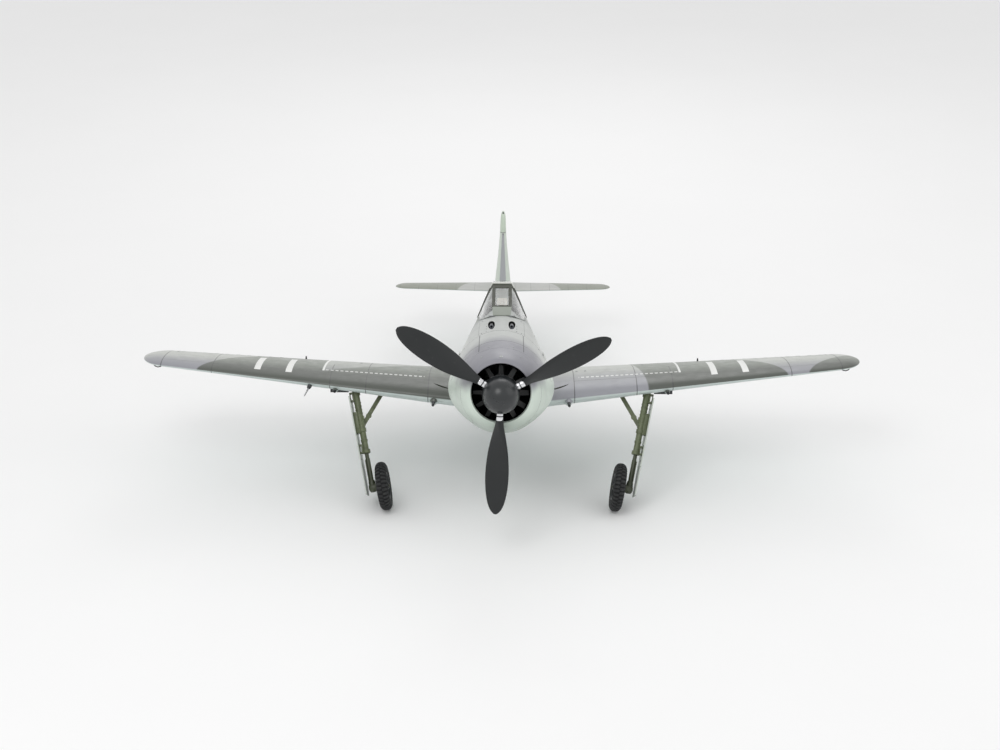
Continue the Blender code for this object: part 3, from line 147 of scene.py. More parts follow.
class Finish:
    """A node material built up in steps; it reads positions turned back into the level frame."""

    def __init__(self, name, roughness, metallic=0.0, **sockets):
        self.material = bpy.data.materials.new(name)
        self.material.use_nodes = True
        self.tree = self.material.node_tree
        self.shader = self.tree.nodes["Principled BSDF"]
        self.shader.inputs["Roughness"].default_value = roughness
        self.shader.inputs["Metallic"].default_value = metallic
        for socket, value in sockets.items():
            self.shader.inputs[socket.replace("_", " ")].default_value = value
        self.place = None

    def put(self, socket, value):
        if isinstance(value, bpy.types.NodeSocket):
            self.tree.links.new(value, socket)
        elif isinstance(value, tuple) and len(value) == 3 and socket.type == "RGBA":
            socket.default_value = (*value, 1.0)
        else:
            socket.default_value = value

    def node(self, kind, inputs, **settings):
        made = self.tree.nodes.new("ShaderNode" + kind)
        for key, value in settings.items():
            setattr(made, key, value)
        for key, value in inputs.items():
            self.put(made.inputs[key], value)
        return made

    def math(self, operation, *values):
        inputs = dict(enumerate(values))
        return self.node("Math", inputs, operation=operation).outputs[0]

    def mix(self, share, first, second):
        inputs = {0: share, 6: first, 7: second}
        return self.node("Mix", inputs, data_type="RGBA").outputs[2]

    def coordinates(self):
        """Sockets x, y, z, |x| and the upward part of the surface normal."""
        if self.place is None:
            source = self.tree.nodes.new("ShaderNodeTexCoord")
            level = self.node("Mapping", {"Vector": source.outputs["Object"]})
            level.vector_type = "TEXTURE"
            level.inputs["Location"].default_value = LEVEL.translation
            level.inputs["Rotation"].default_value = LEVEL.to_euler()
            upright = self.node("Mapping", {"Vector": source.outputs["Normal"]})
            upright.vector_type = "VECTOR"
            upright.inputs["Rotation"].default_value = LEVEL.inverted().to_euler()
            split = self.node("SeparateXYZ", {0: level.outputs[0]})
            facing = self.node("SeparateXYZ", {0: upright.outputs[0]})
            x, y, z = split.outputs
            self.place = (x, y, z, self.math("ABSOLUTE", x), facing.outputs[2])
            self.object_coordinates = level.outputs[0]
        return self.place

    def noise(self, scale, detail=3.0, stretch=None):
        self.coordinates()
        where = self.object_coordinates
        if stretch:
            where = self.node("Mapping", {"Vector": where, "Scale": stretch}).outputs[0]
        inputs = {"Vector": where, "Scale": scale, "Detail": detail}
        return self.node("TexNoise", inputs).outputs[0]

    def ramp(self, value, low, high):
        """0 below low, 1 above high and smooth between; falls instead when low is above high."""
        ends = {0: value, 1: min(low, high), 2: max(low, high)}
        ends.update({3: 1.0, 4: 0.0} if low > high else {3: 0.0, 4: 1.0})
        return self.node("MapRange", ends, interpolation_type="SMOOTHSTEP").outputs[0]

    def near(self, value, target, reach):
        return self.math("COMPARE", value, target, reach)

    def both(self, *masks):
        made = masks[0]
        for mask in masks[1:]:
            made = self.math("MULTIPLY", made, mask)
        return made

    def either(self, *masks):
        made = masks[0]
        for mask in masks[1:]:
            made = self.math("MAXIMUM", made, mask)
        return made

    def between(self, value, low, high, soft=0.0005):
        return self.both(self.ramp(value, low - soft, low + soft),
                         self.ramp(value, high + soft, high - soft))

    def toned(self, colour, amount, scale):
        """The colour with blotches and grain that change its brightness by about the amount."""
        blotch = self.noise(scale, 4.0)
        level = self.math("MULTIPLY_ADD", blotch, 2.4 * amount, 1.0 - 1.2 * amount)
        inputs = {"Value": level, "Color": colour}
        return self.node("HueSaturation", inputs).outputs[0]

    def colour(self, value):
        self.put(self.shader.inputs["Base Color"], value)

    def gloss(self, low, high, scale=60.0):
        """Roughness that wanders between two values."""
        share = self.noise(scale, 3.0)
        ends = {0: share, 1: 0.3, 2: 0.7, 3: low, 4: high}
        self.put(self.shader.inputs["Roughness"], self.node("MapRange", ends).outputs[0])

    def bump(self, strength, scale, height=None, stretch=None):
        source = height if height is not None else self.noise(scale, 2.0, stretch)
        inputs = {"Strength": strength, "Distance": BUMP_DEPTH, "Height": source}
        self.put(self.shader.inputs["Normal"], self.node("Bump", inputs).outputs[0])


def plain(name, colour, roughness, metallic=0.0, wear=0.08, scale=60.0, grain=1400.0,
          grain_strength=0.12, **sockets):
    """One colour with soft wear, wandering gloss and a fine grain."""
    made = Finish(name, roughness, metallic, **sockets)
    made.colour(made.toned(colour, wear, scale))
    made.gloss(max(0.02, roughness - 0.06), min(1.0, roughness + 0.08))
    made.bump(grain_strength, grain)
    return made.material


PALE_GREEN = rgb(203, 214, 204)
LILAC = rgb(138, 138, 145)
SIDE_GREY = rgb(204, 208, 203)
TOP_GREY = rgb(184, 187, 184)
UNDER_BLUE = rgb(190, 201, 198)
LINE = rgb(62, 64, 64)


def cowl_finish():
    """Pale green with a lilac-grey upper part, softly sprayed over the shoulder, and the lower part
    darkened as painted shade.
    """
    made = Finish("cowl_enamel", 0.38, Coat_Weight=0.15, Coat_Roughness=0.25)
    _, y, z, span, _ = made.coordinates()
    wobble = made.math("MULTIPLY_ADD", made.noise(26.0, 2.0), 0.030, -0.015)
    level = made.math("SUBTRACT", made.math("ADD", z, wobble),
                      made.math("MULTIPLY", y, 0.10))
    top = made.ramp(level, -0.004, 0.026)
    rear = made.ramp(made.math("ADD", y, made.math("MULTIPLY", span, 0.25)), 0.105, 0.175)
    upper = made.mix(rear, LILAC, TOP_GREY)
    # The green darkens towards the bottom of the cowl: painted shade on its underside.
    lower = made.mix(made.ramp(z, -0.030, -0.075), PALE_GREEN, rgb(172, 184, 174))
    paint = made.mix(top, lower, upper)
    seam = made.both(made.near(y, 0.116, 0.0010), made.ramp(z, 0.002, 0.004))
    edge = made.both(made.near(span, 0.0435, 0.0008), made.ramp(z, 0.03, 0.032),
                     made.between(y, 0.076, 0.2))
    ring = made.both(made.near(y, 0.0345, 0.0003), made.ramp(z, 0.02, 0.0))
    lines = made.either(seam, edge, ring)
    soot = made.both(made.ramp(y, 0.165, 0.2), made.ramp(z, -0.015, -0.045),
                     made.ramp(span, 0.03, 0.06), made.noise(40.0, 4.0))
    paint = made.mix(made.math("MULTIPLY", soot, 0.55), paint, rgb(112, 112, 106))
    made.colour(made.toned(made.mix(made.math("MULTIPLY", lines, 0.88), paint, LINE), 0.05, 22.0))
    made.gloss(0.30, 0.45)
    made.bump(0.10, 900.0)
    return made.material


def body_finish():
    """Pale sides, grey back, dark spine patches, and panel lines with rivet rows."""
    made = Finish("body_enamel", 0.42, Coat_Weight=0.12, Coat_Roughness=0.3)
    x, y, z, span, _ = made.coordinates()
    wobble = made.math("MULTIPLY_ADD", made.noise(16.0, 3.0), 0.036, -0.018)
    top = made.ramp(made.math("ADD", z, wobble), 0.030, 0.072)
    wave = made.math("SINE", made.math("MULTIPLY_ADD", y, 19.0, made.math("MULTIPLY", x, 16.0)))
    patch = made.both(made.ramp(wave, -0.10, 0.12), made.ramp(y, 0.40, 0.46))
    back = made.mix(patch, rgb(170, 174, 172), rgb(112, 118, 110))
    front = made.mix(made.ramp(y, 0.36, 0.40), TOP_GREY, back)
    paint = made.mix(top, SIDE_GREY, front)
    belly = made.ramp(made.math("ADD", z, wobble), -0.030, -0.055)
    paint = made.mix(belly, paint, UNDER_BLUE)
    fin = made.both(made.ramp(y, 0.955, 1.0), made.ramp(z, 0.058, 0.075))
    fin_edge = made.ramp(made.math("MULTIPLY_ADD", z, 0.05, span), 0.0108, 0.0126)
    fin_paint = made.mix(fin_edge, rgb(158, 160, 163), rgb(198, 208, 197))
    fin_paint = made.mix(made.ramp(z, 0.184, 0.190), fin_paint, rgb(190, 203, 187))
    paint = made.mix(fin, paint, fin_paint)
    mottle = made.both(made.ramp(made.noise(55.0, 2.0), 0.56, 0.64),
                       made.ramp(z, 0.062, 0.02), made.ramp(z, -0.055, -0.02),
                       made.ramp(y, 0.44, 0.60))
    paint = made.mix(made.math("MULTIPLY", mottle, 0.30), paint, rgb(128, 133, 128))
    hoops = [made.near(y, where, BODY_LINE) for where in (0.2005, 0.405, 0.626, 0.706, 0.790, 0.870,
                                                       0.955)]
    length_line = made.both(made.near(z, 0.0405, BODY_LINE), made.between(y, 0.2, 0.95))
    low_line = made.both(made.near(z, 0.002, BODY_LINE), made.between(y, 0.2, 0.95))
    hatch = made.either(
        made.both(made.either(made.near(y, 0.72, 0.0006), made.near(y, 0.778, 0.0006)),
                  made.between(z, 0.008, 0.034), made.ramp(x, 0.0, 0.01)),
        made.both(made.either(made.near(z, 0.008, 0.0006), made.near(z, 0.034, 0.0006)),
                  made.between(y, 0.72, 0.778), made.ramp(x, 0.0, 0.01)))
    fin_line = made.both(made.near(z, 0.188, BODY_LINE), made.ramp(y, 0.96, 1.0))
    lines = made.either(*hoops, length_line, low_line, hatch, fin_line)
    beads = made.near(made.math("FRACT", made.math("MULTIPLY", y, 125.0)), 0.5, 0.09)
    rows = made.either(made.near(z, 0.0440, 0.0006), made.near(z, 0.0055, 0.0006))
    rivets = made.both(beads, rows, made.between(y, 0.2, 0.95))
    marks = made.math("MULTIPLY", made.either(lines, made.math("MULTIPLY", rivets, 0.6)), 0.80)
    streak = made.noise(30.0, 3.0, (1.0, 0.12, 1.0))
    paint = made.mix(made.math("MULTIPLY", made.ramp(streak, 0.5, 0.8), 0.16), paint,
                     rgb(120, 122, 116))
    made.colour(made.toned(made.mix(marks, paint, LINE), 0.05, 18.0))
    made.gloss(0.34, 0.50)
    made.bump(0.10, 900.0)
    return made.material


def wing_finish():
    """Splinter greys above, pale blue-green below, with lines, dashes and plain bars; the greys
    carry painted shade, darker towards the leading edge.
    """
    made = Finish("wing_enamel", 0.36, Coat_Weight=0.18, Coat_Roughness=0.28)
    x, y, _, span, up = made.coordinates()
    share = made.node("MapRange", {0: span, 1: 0.093, 2: 0.700, 3: 0.0, 4: 1.0}).outputs[0]
    lead = made.math("MULTIPLY_ADD", share, 0.057, 0.249)
    chord = made.math("MULTIPLY_ADD", share, -0.176, 0.350)
    s = made.math("DIVIDE", made.math("SUBTRACT", y, lead), chord)
    squared = made.math("MULTIPLY", s, s)

    def bound(at, first, second):
        """How far the span passes a curved chordwise boundary, in metres."""
        edge = made.math("MULTIPLY_ADD", s, first, at)
        edge = made.math("MULTIPLY_ADD", squared, second, edge)
        return made.math("SUBTRACT", span, edge)

    soft = 0.0022
    tip_right = made.ramp(bound(0.628, -0.11, -0.05), -soft, soft)
    aft_edge = made.math("SUBTRACT", s, made.math("MULTIPLY_ADD", span, -2.3, 1.04))
    aft_right = made.both(made.ramp(aft_edge, -0.02, 0.05), made.ramp(span, 0.374, 0.369))
    light_right = made.either(tip_right, made.math("MULTIPLY", aft_right, 0.75))
    root_left = made.ramp(bound(0.302, -0.035, 0.0), soft, -soft)
    strip_left = made.both(made.ramp(bound(0.590, -0.08, -0.07), -soft, soft),
                           made.ramp(bound(0.634, 0.10, 0.10), soft, -soft))
    light_left = made.either(root_left, strip_left)
    left = made.ramp(x, -0.001, 0.001)
    light = made.mix(left, light_right, light_left)
    # Both splinter greys run darker towards the leading edge and lighter aft: painted shade, not a
    # change of paint.
    dark_grey_with_painted_shade = made.mix(made.ramp(s, 0.06, 0.45), rgb(82, 86, 80), rgb(124, 130, 120))
    light_grey_with_painted_shade = made.mix(made.ramp(s, 0.05, 0.5), rgb(146, 147, 153), rgb(184, 187, 181))
    upper = made.mix(light, dark_grey_with_painted_shade, light_grey_with_painted_shade)

    under = made.ramp(made.math("ADD", up, made.math("MULTIPLY_ADD", made.noise(9.0), 0.2, -0.1)),
                      0.16, -0.10)
    on_top = made.ramp(up, 0.1, 0.2)
    paint = made.mix(under, upper, UNDER_BLUE)
    chords = [made.near(span, where, WING_LINE) for where in (0.150, 0.278, 0.598)]
    chords.append(made.both(made.near(span, 0.352, WING_LINE), made.ramp(s, 0.46, 0.44)))
    chords.append(made.near(span, 0.7035, WING_LINE))
    along = made.both(made.near(s, 0.155, 0.0022), made.between(span, 0.150, 0.7))
    spar = made.both(made.near(s, 0.435, 0.0012), made.between(span, 0.16, 0.7))
    dark_lines = made.math("MULTIPLY", made.either(*chords, along, spar), 0.82)
    beads = made.near(made.math("FRACT", made.math("MULTIPLY", span, 110.0)), 0.5, 0.10)
    rivets = made.both(beads, made.either(made.near(s, 0.165, 0.0022), made.near(s, 0.60, 0.0022)))
    dark_lines = made.either(dark_lines, made.math("MULTIPLY", rivets, 0.30))
    paint = made.mix(dark_lines, paint, LINE)
    dashes = made.both(made.near(s, 0.22, 0.011), on_top, made.between(span, 0.160, 0.366),
                       made.near(made.math("FRACT", made.math("MULTIPLY", span, 98.0)), 0.5, 0.30))
    rib_line = made.both(made.near(span, 0.3700, 0.0022), made.between(s, 0.20, 0.99), on_top)
    bars = made.both(made.either(made.near(span, 0.4400, 0.0065), made.near(span, 0.5050, 0.0065)),
                     made.between(s, 0.10, 0.62, 0.004), on_top)
    white = made.either(made.math("MULTIPLY", dashes, 0.80), made.math("MULTIPLY", rib_line, 0.9),
                        made.math("MULTIPLY", bars, 0.93))
    paint = made.mix(white, paint, rgb(240, 241, 238))
    streak = made.noise(24.0, 3.0, (1.0, 0.15, 1.0))
    paint = made.mix(made.math("MULTIPLY", made.ramp(streak, 0.52, 0.8), 0.14), paint,
                     rgb(88, 90, 84))
    made.colour(made.toned(paint, 0.05, 14.0))
    made.gloss(0.28, 0.44)
    made.bump(0.10, 850.0)
    return made.material


def tail_finish():
    """Light grey by the fuselage, dark green outboard, pale below."""
    made = Finish("tail_enamel", 0.40, Coat_Weight=0.12, Coat_Roughness=0.3)
    x, y, _, span, up = made.coordinates()
    limit = made.mix(made.ramp(x, -0.001, 0.001), (0.112,) * 3, (0.145,) * 3)
    edge = made.math("ADD", made.math("SUBTRACT", span, limit),
                     made.math("MULTIPLY", made.math("SUBTRACT", y, 1.02), 0.35))
    dark = made.ramp(edge, -0.002, 0.002)
    upper = made.mix(dark, rgb(180, 181, 178), rgb(138, 142, 131))
    under = made.ramp(up, 0.05, -0.15)
    paint = made.mix(under, upper, UNDER_BLUE)
    ribs = made.near(made.math("FRACT", made.math("MULTIPLY", span, 22.0)), 0.5, 0.012)
    lines = made.either(ribs, made.near(span, 0.030, 0.0004))
    paint = made.mix(made.math("MULTIPLY", lines, 0.35), paint, LINE)
    made.colour(made.toned(paint, 0.05, 25.0))
    made.gloss(0.34, 0.48)
    made.bump(0.10, 900.0)
    return made.material


def blade_finish():
    made = Finish("blade_satin", 0.36, Specular_IOR_Level=0.42)
    worn = made.ramp(made.noise(120.0, 4.0, (1.0, 1.0, 1.0)), 0.62, 0.78)
    paint = made.mix(made.math("MULTIPLY", worn, 0.20), rgb(27, 30, 31), rgb(70, 72, 71))
    made.colour(made.toned(paint, 0.10, 30.0))
    made.gloss(0.30, 0.42)
    made.bump(0.12, 1100.0)
    return made.material


def gear_finish(name, colour, chip):
    """Olive primer with scattered scuffs and oil-darkened patches."""
    made = Finish(name, 0.42, Coat_Weight=0.08)
    grime = made.ramp(made.noise(95.0, 5.0), 0.45, 0.72)
    paint = made.mix(made.math("MULTIPLY", grime, 0.42), colour, rgb(62, 64, 48))
    scuff = made.ramp(made.noise(210.0, 4.0), 0.66, 0.74)
    paint = made.mix(made.math("MULTIPLY", scuff, 0.5), paint, chip)
    made.colour(made.toned(paint, 0.06, 70.0))
    made.gloss(0.34, 0.55, 150.0)
    made.bump(0.20, 1300.0)
    return made.material


def rubber_finish(name, colour, dusty):
    made = Finish(name, 0.70, Specular_IOR_Level=0.35)
    dust = made.ramp(made.noise(150.0, 5.0), 0.45, 0.80)
    made.colour(made.mix(made.math("MULTIPLY", dust, 0.30), colour, dusty))
    made.gloss(0.62, 0.85, 200.0)
    made.bump(0.35, 1500.0)
    return made.material


def ply_finish():
    made = Finish("birch_ply", 0.62)
    grain = made.noise(120.0, 5.0, (0.12, 1.0, 1.0))
    paint = made.mix(made.ramp(grain, 0.35, 0.70), rgb(214, 184, 140), rgb(176, 138, 92))
    made.colour(made.toned(paint, 0.06, 30.0))
    made.bump(0.25, 300.0, stretch=(0.12, 1.0, 1.0))
    return made.material


def carbon_finish():
    made = Finish("carbon_weave", 0.30, Coat_Weight=0.6, Coat_Roughness=0.1)
    x, y, z, _, _ = made.coordinates()
    first = made.math("SINE", made.math("MULTIPLY", made.math("ADD", x, z), 2400.0))
    second = made.math("SINE", made.math("MULTIPLY", made.math("SUBTRACT", y, x), 2400.0))
    weave = made.ramp(made.math("MULTIPLY", first, second), -0.4, 0.4)
    made.colour(made.mix(weave, rgb(22, 23, 25), rgb(58, 60, 64)))
    made.bump(0.3, 0.0, height=weave)
    return made.material


def glass_finish():
    made = Finish("canopy_acrylic", 0.03, Transmission_Weight=1.0, IOR=1.46, Coat_Weight=0.3)
    made.colour(made.toned((0.93, 0.95, 0.94), 0.015, 30.0))
    made.gloss(0.02, 0.06)
    return made.material


COWL = cowl_finish()
BODY = body_finish()
WING = wing_finish()
TAIL = tail_finish()
BLADE = blade_finish()
OLIVE = gear_finish("gear_olive", rgb(104, 112, 84), rgb(150, 154, 130))
# A darker copy of the gear olive, a painted shade, for the wheel wells, the flap recess, the door's
# inner ribs and the axle strut.
OLIVE_PAINTED_SHADE = gear_finish("gear_olive_painted_shade", rgb(70, 76, 58), rgb(116, 118, 98))
DOOR = plain("door_pale", rgb(184, 191, 183), 0.42, wear=0.06, scale=40.0, grain=900.0)
# One rubber in two copies: the carcass darkened as painted shade in the grooves, the tread blocks
# lightened as a painted highlight; the lighter patches on both are dust.
RUBBER_PAINTED_SHADE = rubber_finish("tyre_rubber_black_painted_shade", rgb(20, 21, 22), rgb(44, 44, 43))
TREAD_PAINTED_HIGHLIGHT = rubber_finish("tread_rubber_painted_highlight", rgb(44, 45, 46), rgb(92, 92, 89))
PLY = ply_finish()
CARBON = carbon_finish()
GLASS = glass_finish()
SPINNER = plain("spinner_satin", rgb(34, 37, 39), 0.30, wear=0.05, grain=1600.0,
                grain_strength=0.06, Coat_Weight=0.25, Coat_Roughness=0.2)
FAN = plain("fan_plastic", rgb(48, 49, 49), 0.45, wear=0.10)
# Near-black for the insides of holes and cut faces, the cowl's lining, the spinner's inside and the
# firewall is painted shade; on the instrument board it is the board's own black.
BLACK_AND_PAINTED_SHADE = plain("inner_black_and_painted_shade", rgb(15, 16, 17), 0.75, wear=0.2, Specular_IOR_Level=0.2)
CHROME = plain("polished_collar", rgb(226, 227, 229), 0.14, 1.0, wear=0.05, grain_strength=0.03)
STEEL = plain("machined_steel", rgb(150, 152, 154), 0.34, 1.0, wear=0.10, scale=120.0)
ALLOY = plain("cast_alloy", rgb(176, 178, 178), 0.38, 0.85, wear=0.10, scale=90.0)
GUN = plain("gun_black", rgb(48, 50, 53), 0.36, 0.55, wear=0.14, scale=150.0)
CASE = plain("servo_case", rgb(36, 37, 40), 0.42, wear=0.08)
FRAME_GREEN = plain("screen_frame", rgb(52, 56, 44), 0.45, wear=0.14, scale=140.0)
PANEL_GREEN = plain("cowl_top_green", rgb(142, 148, 139), 0.45, wear=0.08)
CREAM = plain("seat_canvas", rgb(226, 216, 198), 0.78, wear=0.10, scale=160.0, grain=900.0,
              grain_strength=0.4, Sheen_Weight=0.2)
BROWN = plain("harness_web", rgb(128, 104, 74), 0.80, wear=0.15, scale=200.0, grain_strength=0.5)
COCKPIT = plain("cockpit_grey", rgb(70, 74, 72), 0.55, wear=0.12, scale=90.0)
WHITE = plain("gauge_white", rgb(235, 235, 230), 0.5, wear=0.03)
BATTERY = plain("battery_sleeve", rgb(38, 62, 108), 0.34, wear=0.10, Coat_Weight=0.4)
RED_LAMP = plain("lamp_red", rgb(170, 44, 36), 0.12, wear=0.05, Transmission_Weight=0.35)
GREEN_LAMP = plain("lamp_green", rgb(40, 128, 84), 0.12, wear=0.05, Transmission_Weight=0.35)
RIM_WHITE = plain("rim_pale", rgb(224, 226, 220), 0.42, wear=0.06)
RIM = plain("wheel_rim_black", rgb(38, 40, 41), 0.40, 0.3, wear=0.15, scale=150.0)
TROUGH = plain("trough_blue", rgb(150, 154, 166), 0.5, wear=0.08)


# ---------------------------------------------------------------- mesh helpers
def spread(first, last, count):
    return [first + (last - first) * i / (count - 1) for i in range(count)]


def loft(rings, loft_closed=False):
    """Skin a list of closed point rings; open lofts get flat end caps."""
    bm = bmesh.new()
    rows = [[bm.verts.new(point) for point in ring] for ring in rings]
    pairs = list(zip(rows, rows[1:]))
    if loft_closed:
        pairs.append((rows[-1], rows[0]))
    count = len(rows[0])
    for near, far in pairs:
        for i in range(count):
            j = (i + 1) % count
            bm.faces.new((near[i], near[j], far[j], far[i]))
    if not loft_closed:
        bm.faces.new(reversed(rows[0]))
        bm.faces.new(rows[-1])
    return bm


def shell_loft(outer, inner):
    """Skin an open shell of two point grids, joined by a rim."""
    bm = bmesh.new()
    skins = [[[bm.verts.new(point) for point in row] for row in rows] for rows in (outer, inner)]
    rows, count = len(outer), len(outer[0])
    for skin in skins:
        for r in range(rows - 1):
            for i in range(count - 1):
                bm.faces.new((skin[r][i], skin[r][i + 1], skin[r + 1][i + 1], skin[r + 1][i]))
    a, b = skins
    for r in (0, rows - 1):
        for i in range(count - 1):
            bm.faces.new((a[r][i], a[r][i + 1], b[r][i + 1], b[r][i]))
    for i in (0, count - 1):
        for r in range(rows - 1):
            bm.faces.new((a[r][i], a[r + 1][i], b[r + 1][i], b[r][i]))
    return bm


def box(low, high, bevel=0.0):
    """A block between two corners, its edges rounded over."""
    bm = bmesh.new()
    bmesh.ops.create_cube(bm, size=1.0)
    low, high = Vector(low), Vector(high)
    for vert in bm.verts:
        vert.co = Vector([low[i] + (vert.co[i] + 0.5) * (high[i] - low[i]) for i in range(3)])
    if bevel:
        bmesh.ops.bevel(bm, geom=bm.edges[:], offset=bevel, segments=2, profile=0.6,
                        affect="EDGES")
    return bm


def circle(centre, normal, radius, count):
    normal = Vector(normal).normalized()
    side = normal.orthogonal().normalized()
    other = normal.cross(side)
    turns = [math.tau * i / count for i in range(count)]
    return [Vector(centre) + radius * (math.cos(a) * side + math.sin(a) * other) for a in turns]


def turned(profile, centre, axis, count=48, closed=False):
    """Turn (along, radius) points about an axis; a closed profile makes a ring or a tube."""
    centre, axis = Vector(centre), Vector(axis).normalized()
    rings = [circle(centre + axis * along, axis, radius, count) for along, radius in profile]
    return loft(rings, loft_closed=closed)


def rod(start, end, radius, end_radius=None, count=20, chamfer=0.0):
    start, end = Vector(start), Vector(end)
    far = radius if end_radius is None else end_radius
    length = (end - start).length
    profile = [(0.0, radius), (length, far)]
    if chamfer:
        profile = [(0.0, radius - chamfer), (chamfer, radius), (length - chamfer, far),
                   (length, far - chamfer)]
    return turned(profile, start, end - start, count)


def bent_tube(points, radius, count=12):
    """A round tube along a list of points."""
    points = [Vector(point) for point in points]
    rings = []
    side = None
    for i, point in enumerate(points):
        along = (points[min(i + 1, len(points) - 1)] - points[max(i - 1, 0)]).normalized()
        side = along.orthogonal() if side is None else side - along * side.dot(along)
        side.normalize()
        other = along.cross(side)
        rings.append([point + radius * (math.cos(math.tau * k / count) * side
                                        + math.sin(math.tau * k / count) * other)
                      for k in range(count)])
    return loft(rings)


def merged(*parts):
    """Several meshes in one, which stay separate bodies."""
    whole = bmesh.new()
    for part in parts:
        mesh = bpy.data.meshes.new("merge")
        part.to_mesh(mesh)
        part.free()
        whole.from_mesh(mesh)
        bpy.data.meshes.remove(mesh)
    return whole


def painted(bm, index):
    for face in bm.faces:
        face.material_index = index
    return bm


def placed(bm, matrix):
    bm.transform(matrix)
    return bm


def mirrored(bm, side):
    if side < 0:
        bm.transform(Matrix.Scale(-1.0, 4, X_AXIS))
        bmesh.ops.reverse_faces(bm, faces=bm.faces)
    return bm


def as_mesh(name, shape, materials):
    """A mesh from a bmesh, its faces turned outward, or the mesh itself."""
    if isinstance(shape, bmesh.types.BMesh):
        bmesh.ops.remove_doubles(shape, verts=shape.verts, dist=1e-7)
        bmesh.ops.recalc_face_normals(shape, faces=shape.faces)
        mesh = bpy.data.meshes.new(name)
        shape.to_mesh(mesh)
        shape.free()
        for material in materials:
            mesh.materials.append(material)
        return mesh
    return shape


def carve(shape, material, *steps):
    """Boolean steps (operation, tool, its material) applied to a shape; faces keep their finish."""
    scene = bpy.context.scene.collection.objects
    base = bpy.data.objects.new("carve", as_mesh("carve", shape, [material]))
    scene.link(base)
    others = []
    for operation, tool, lining in steps:
        other = bpy.data.objects.new("tool", as_mesh("tool", tool, [lining]))
        scene.link(other)
        others.append(other)
        modifier = base.modifiers.new(operation, "BOOLEAN")
        modifier.operation, modifier.solver, modifier.object = operation, "EXACT", other
        modifier.material_mode = "TRANSFER"
    bpy.context.view_layer.update()
    solid = base.evaluated_get(bpy.context.evaluated_depsgraph_get())
    mesh = bpy.data.meshes.new_from_object(solid)
    for old in [base] + others:
        data = old.data
        bpy.data.objects.remove(old, do_unlink=True)
        bpy.data.meshes.remove(data)
    return mesh


def piece(name, shape, body, slot, *materials, replaces=(), sharp=34.0):
    """A finished piece of the visual model, standing where the level frame says."""
    mesh = as_mesh(name, shape, materials)
    mesh.transform(LEVEL)
    mesh.name = name
    mesh.shade_smooth()
    mesh.set_sharp_from_angle(angle=math.radians(sharp))
    made = bpy.data.objects.new(name, mesh)
    bpy.context.scene.collection.objects.link(made)
    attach(made, body)
    if replaces:
        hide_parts(*replaces)
    return made


def side_name(side):
    return "left" if side > 0 else "right"


def sampled(table, at):
    """Read a table, whose rows start with the position, along smooth curves through its rows."""
    last = len(table) - 1
    at = min(max(at, table[0][0]), table[last][0])
    i = max(k for k in range(last) if table[k][0] <= at)
    width = table[i + 1][0] - table[i][0]
    t = (at - table[i][0]) / width

    def slope(k, column):
        before, after = table[max(k - 1, 0)], table[min(k + 1, last)]
        return (after[column] - before[column]) / (after[0] - before[0]) * width

    weights = (2 * t ** 3 - 3 * t ** 2 + 1, t ** 3 - 2 * t ** 2 + t, 3 * t ** 2 - 2 * t ** 3,
               t ** 3 - t ** 2)
    found = []
    for column in range(1, len(table[0])):
        parts = (table[i][column], slope(i, column), table[i + 1][column], slope(i + 1, column))
        found.append(sum(w * p for w, p in zip(weights, parts)))
    return found



# ---------------------------------------------------------------- body
LIP_STATIONS = (
    (0.010, 0.0605, -0.0585, 0.0600, 2.0), (0.016, 0.0660, -0.0680, 0.0675, 2.0),
    (0.032, 0.0712, -0.0785, 0.0770, 2.0), (0.050, 0.0752, -0.0860, 0.0838, 2.0),
)
BODY_STATIONS = LIP_STATIONS + (
    (0.070, 0.0785, -0.0905, 0.0885, 2.0), (0.110, 0.0842, -0.0945, 0.0925, 2.0),
    (0.155, 0.0888, -0.0970, 0.0945, 2.0), (0.200, 0.0912, -0.0985, 0.0940, 2.0),
    (0.250, 0.0925, -0.1000, 0.0910, 2.0), (0.320, 0.0930, -0.1000, 0.0850, 2.1),
    (0.375, 0.0930, -0.1000, 0.0790, 2.25), (0.430, 0.0900, -0.1000, 0.0740, 2.5),
    (0.520, 0.0870, -0.0960, 0.0680, 2.5), (0.640, 0.0855, -0.0850, 0.0600, 2.4),
    (0.760, 0.0830, -0.0660, 0.0500, 2.3), (0.880, 0.0760, -0.0440, 0.0380, 2.2),
    (1.000, 0.0680, -0.0230, 0.0245, 2.1), (1.090, 0.0600, -0.0100, 0.0130, 2.0),
    (1.138, 0.0560, -0.0040, 0.0075, 2.0),
)
COWL_WALL, BODY_WALL = 0.0018, 0.003
HATCH_Y, HATCH_HALF = (0.2035, 0.3705), 0.046
COCKPIT_Y, COCKPIT_HALF = (0.412, 0.618), 0.040
TAIL_POST = 1.138
GUN_PORT_X = 0.0205


def body_point(y, angle, lift=0.0):
    top, bottom, half, power = sampled(BODY_STATIONS, y)
    middle, height = (top + bottom) / 2, (top - bottom) / 2 + lift
    c, s = math.cos(angle), math.sin(angle)
    x = (half + lift) * math.copysign(abs(c) ** (2 / power), c)
    z = middle + height * math.copysign(abs(s) ** (2 / power), s)
    return Vector((x, y, z))


def body_ring(y, lift=0.0, count=96):
    return [body_point(y, math.tau * (i + 0.5) / count, lift) for i in range(count)]


def body_loft(first, last, lift=0.0, step=0.012, count=96):
    rows = spread(first, last, max(2, round((last - first) / step) + 1))
    return loft([body_ring(y, lift, count) for y in rows])


def body_normal(y, angle):
    ahead, behind = body_point(y - 0.001, angle), body_point(y + 0.001, angle)
    left, right = body_point(y, angle - 0.02), body_point(y, angle + 0.02)
    normal = (behind - ahead).cross(right - left)
    middle = Vector((0.0, y, 0.0))
    return normal.normalized() * math.copysign(1.0, normal.dot(body_point(y, angle) - middle))


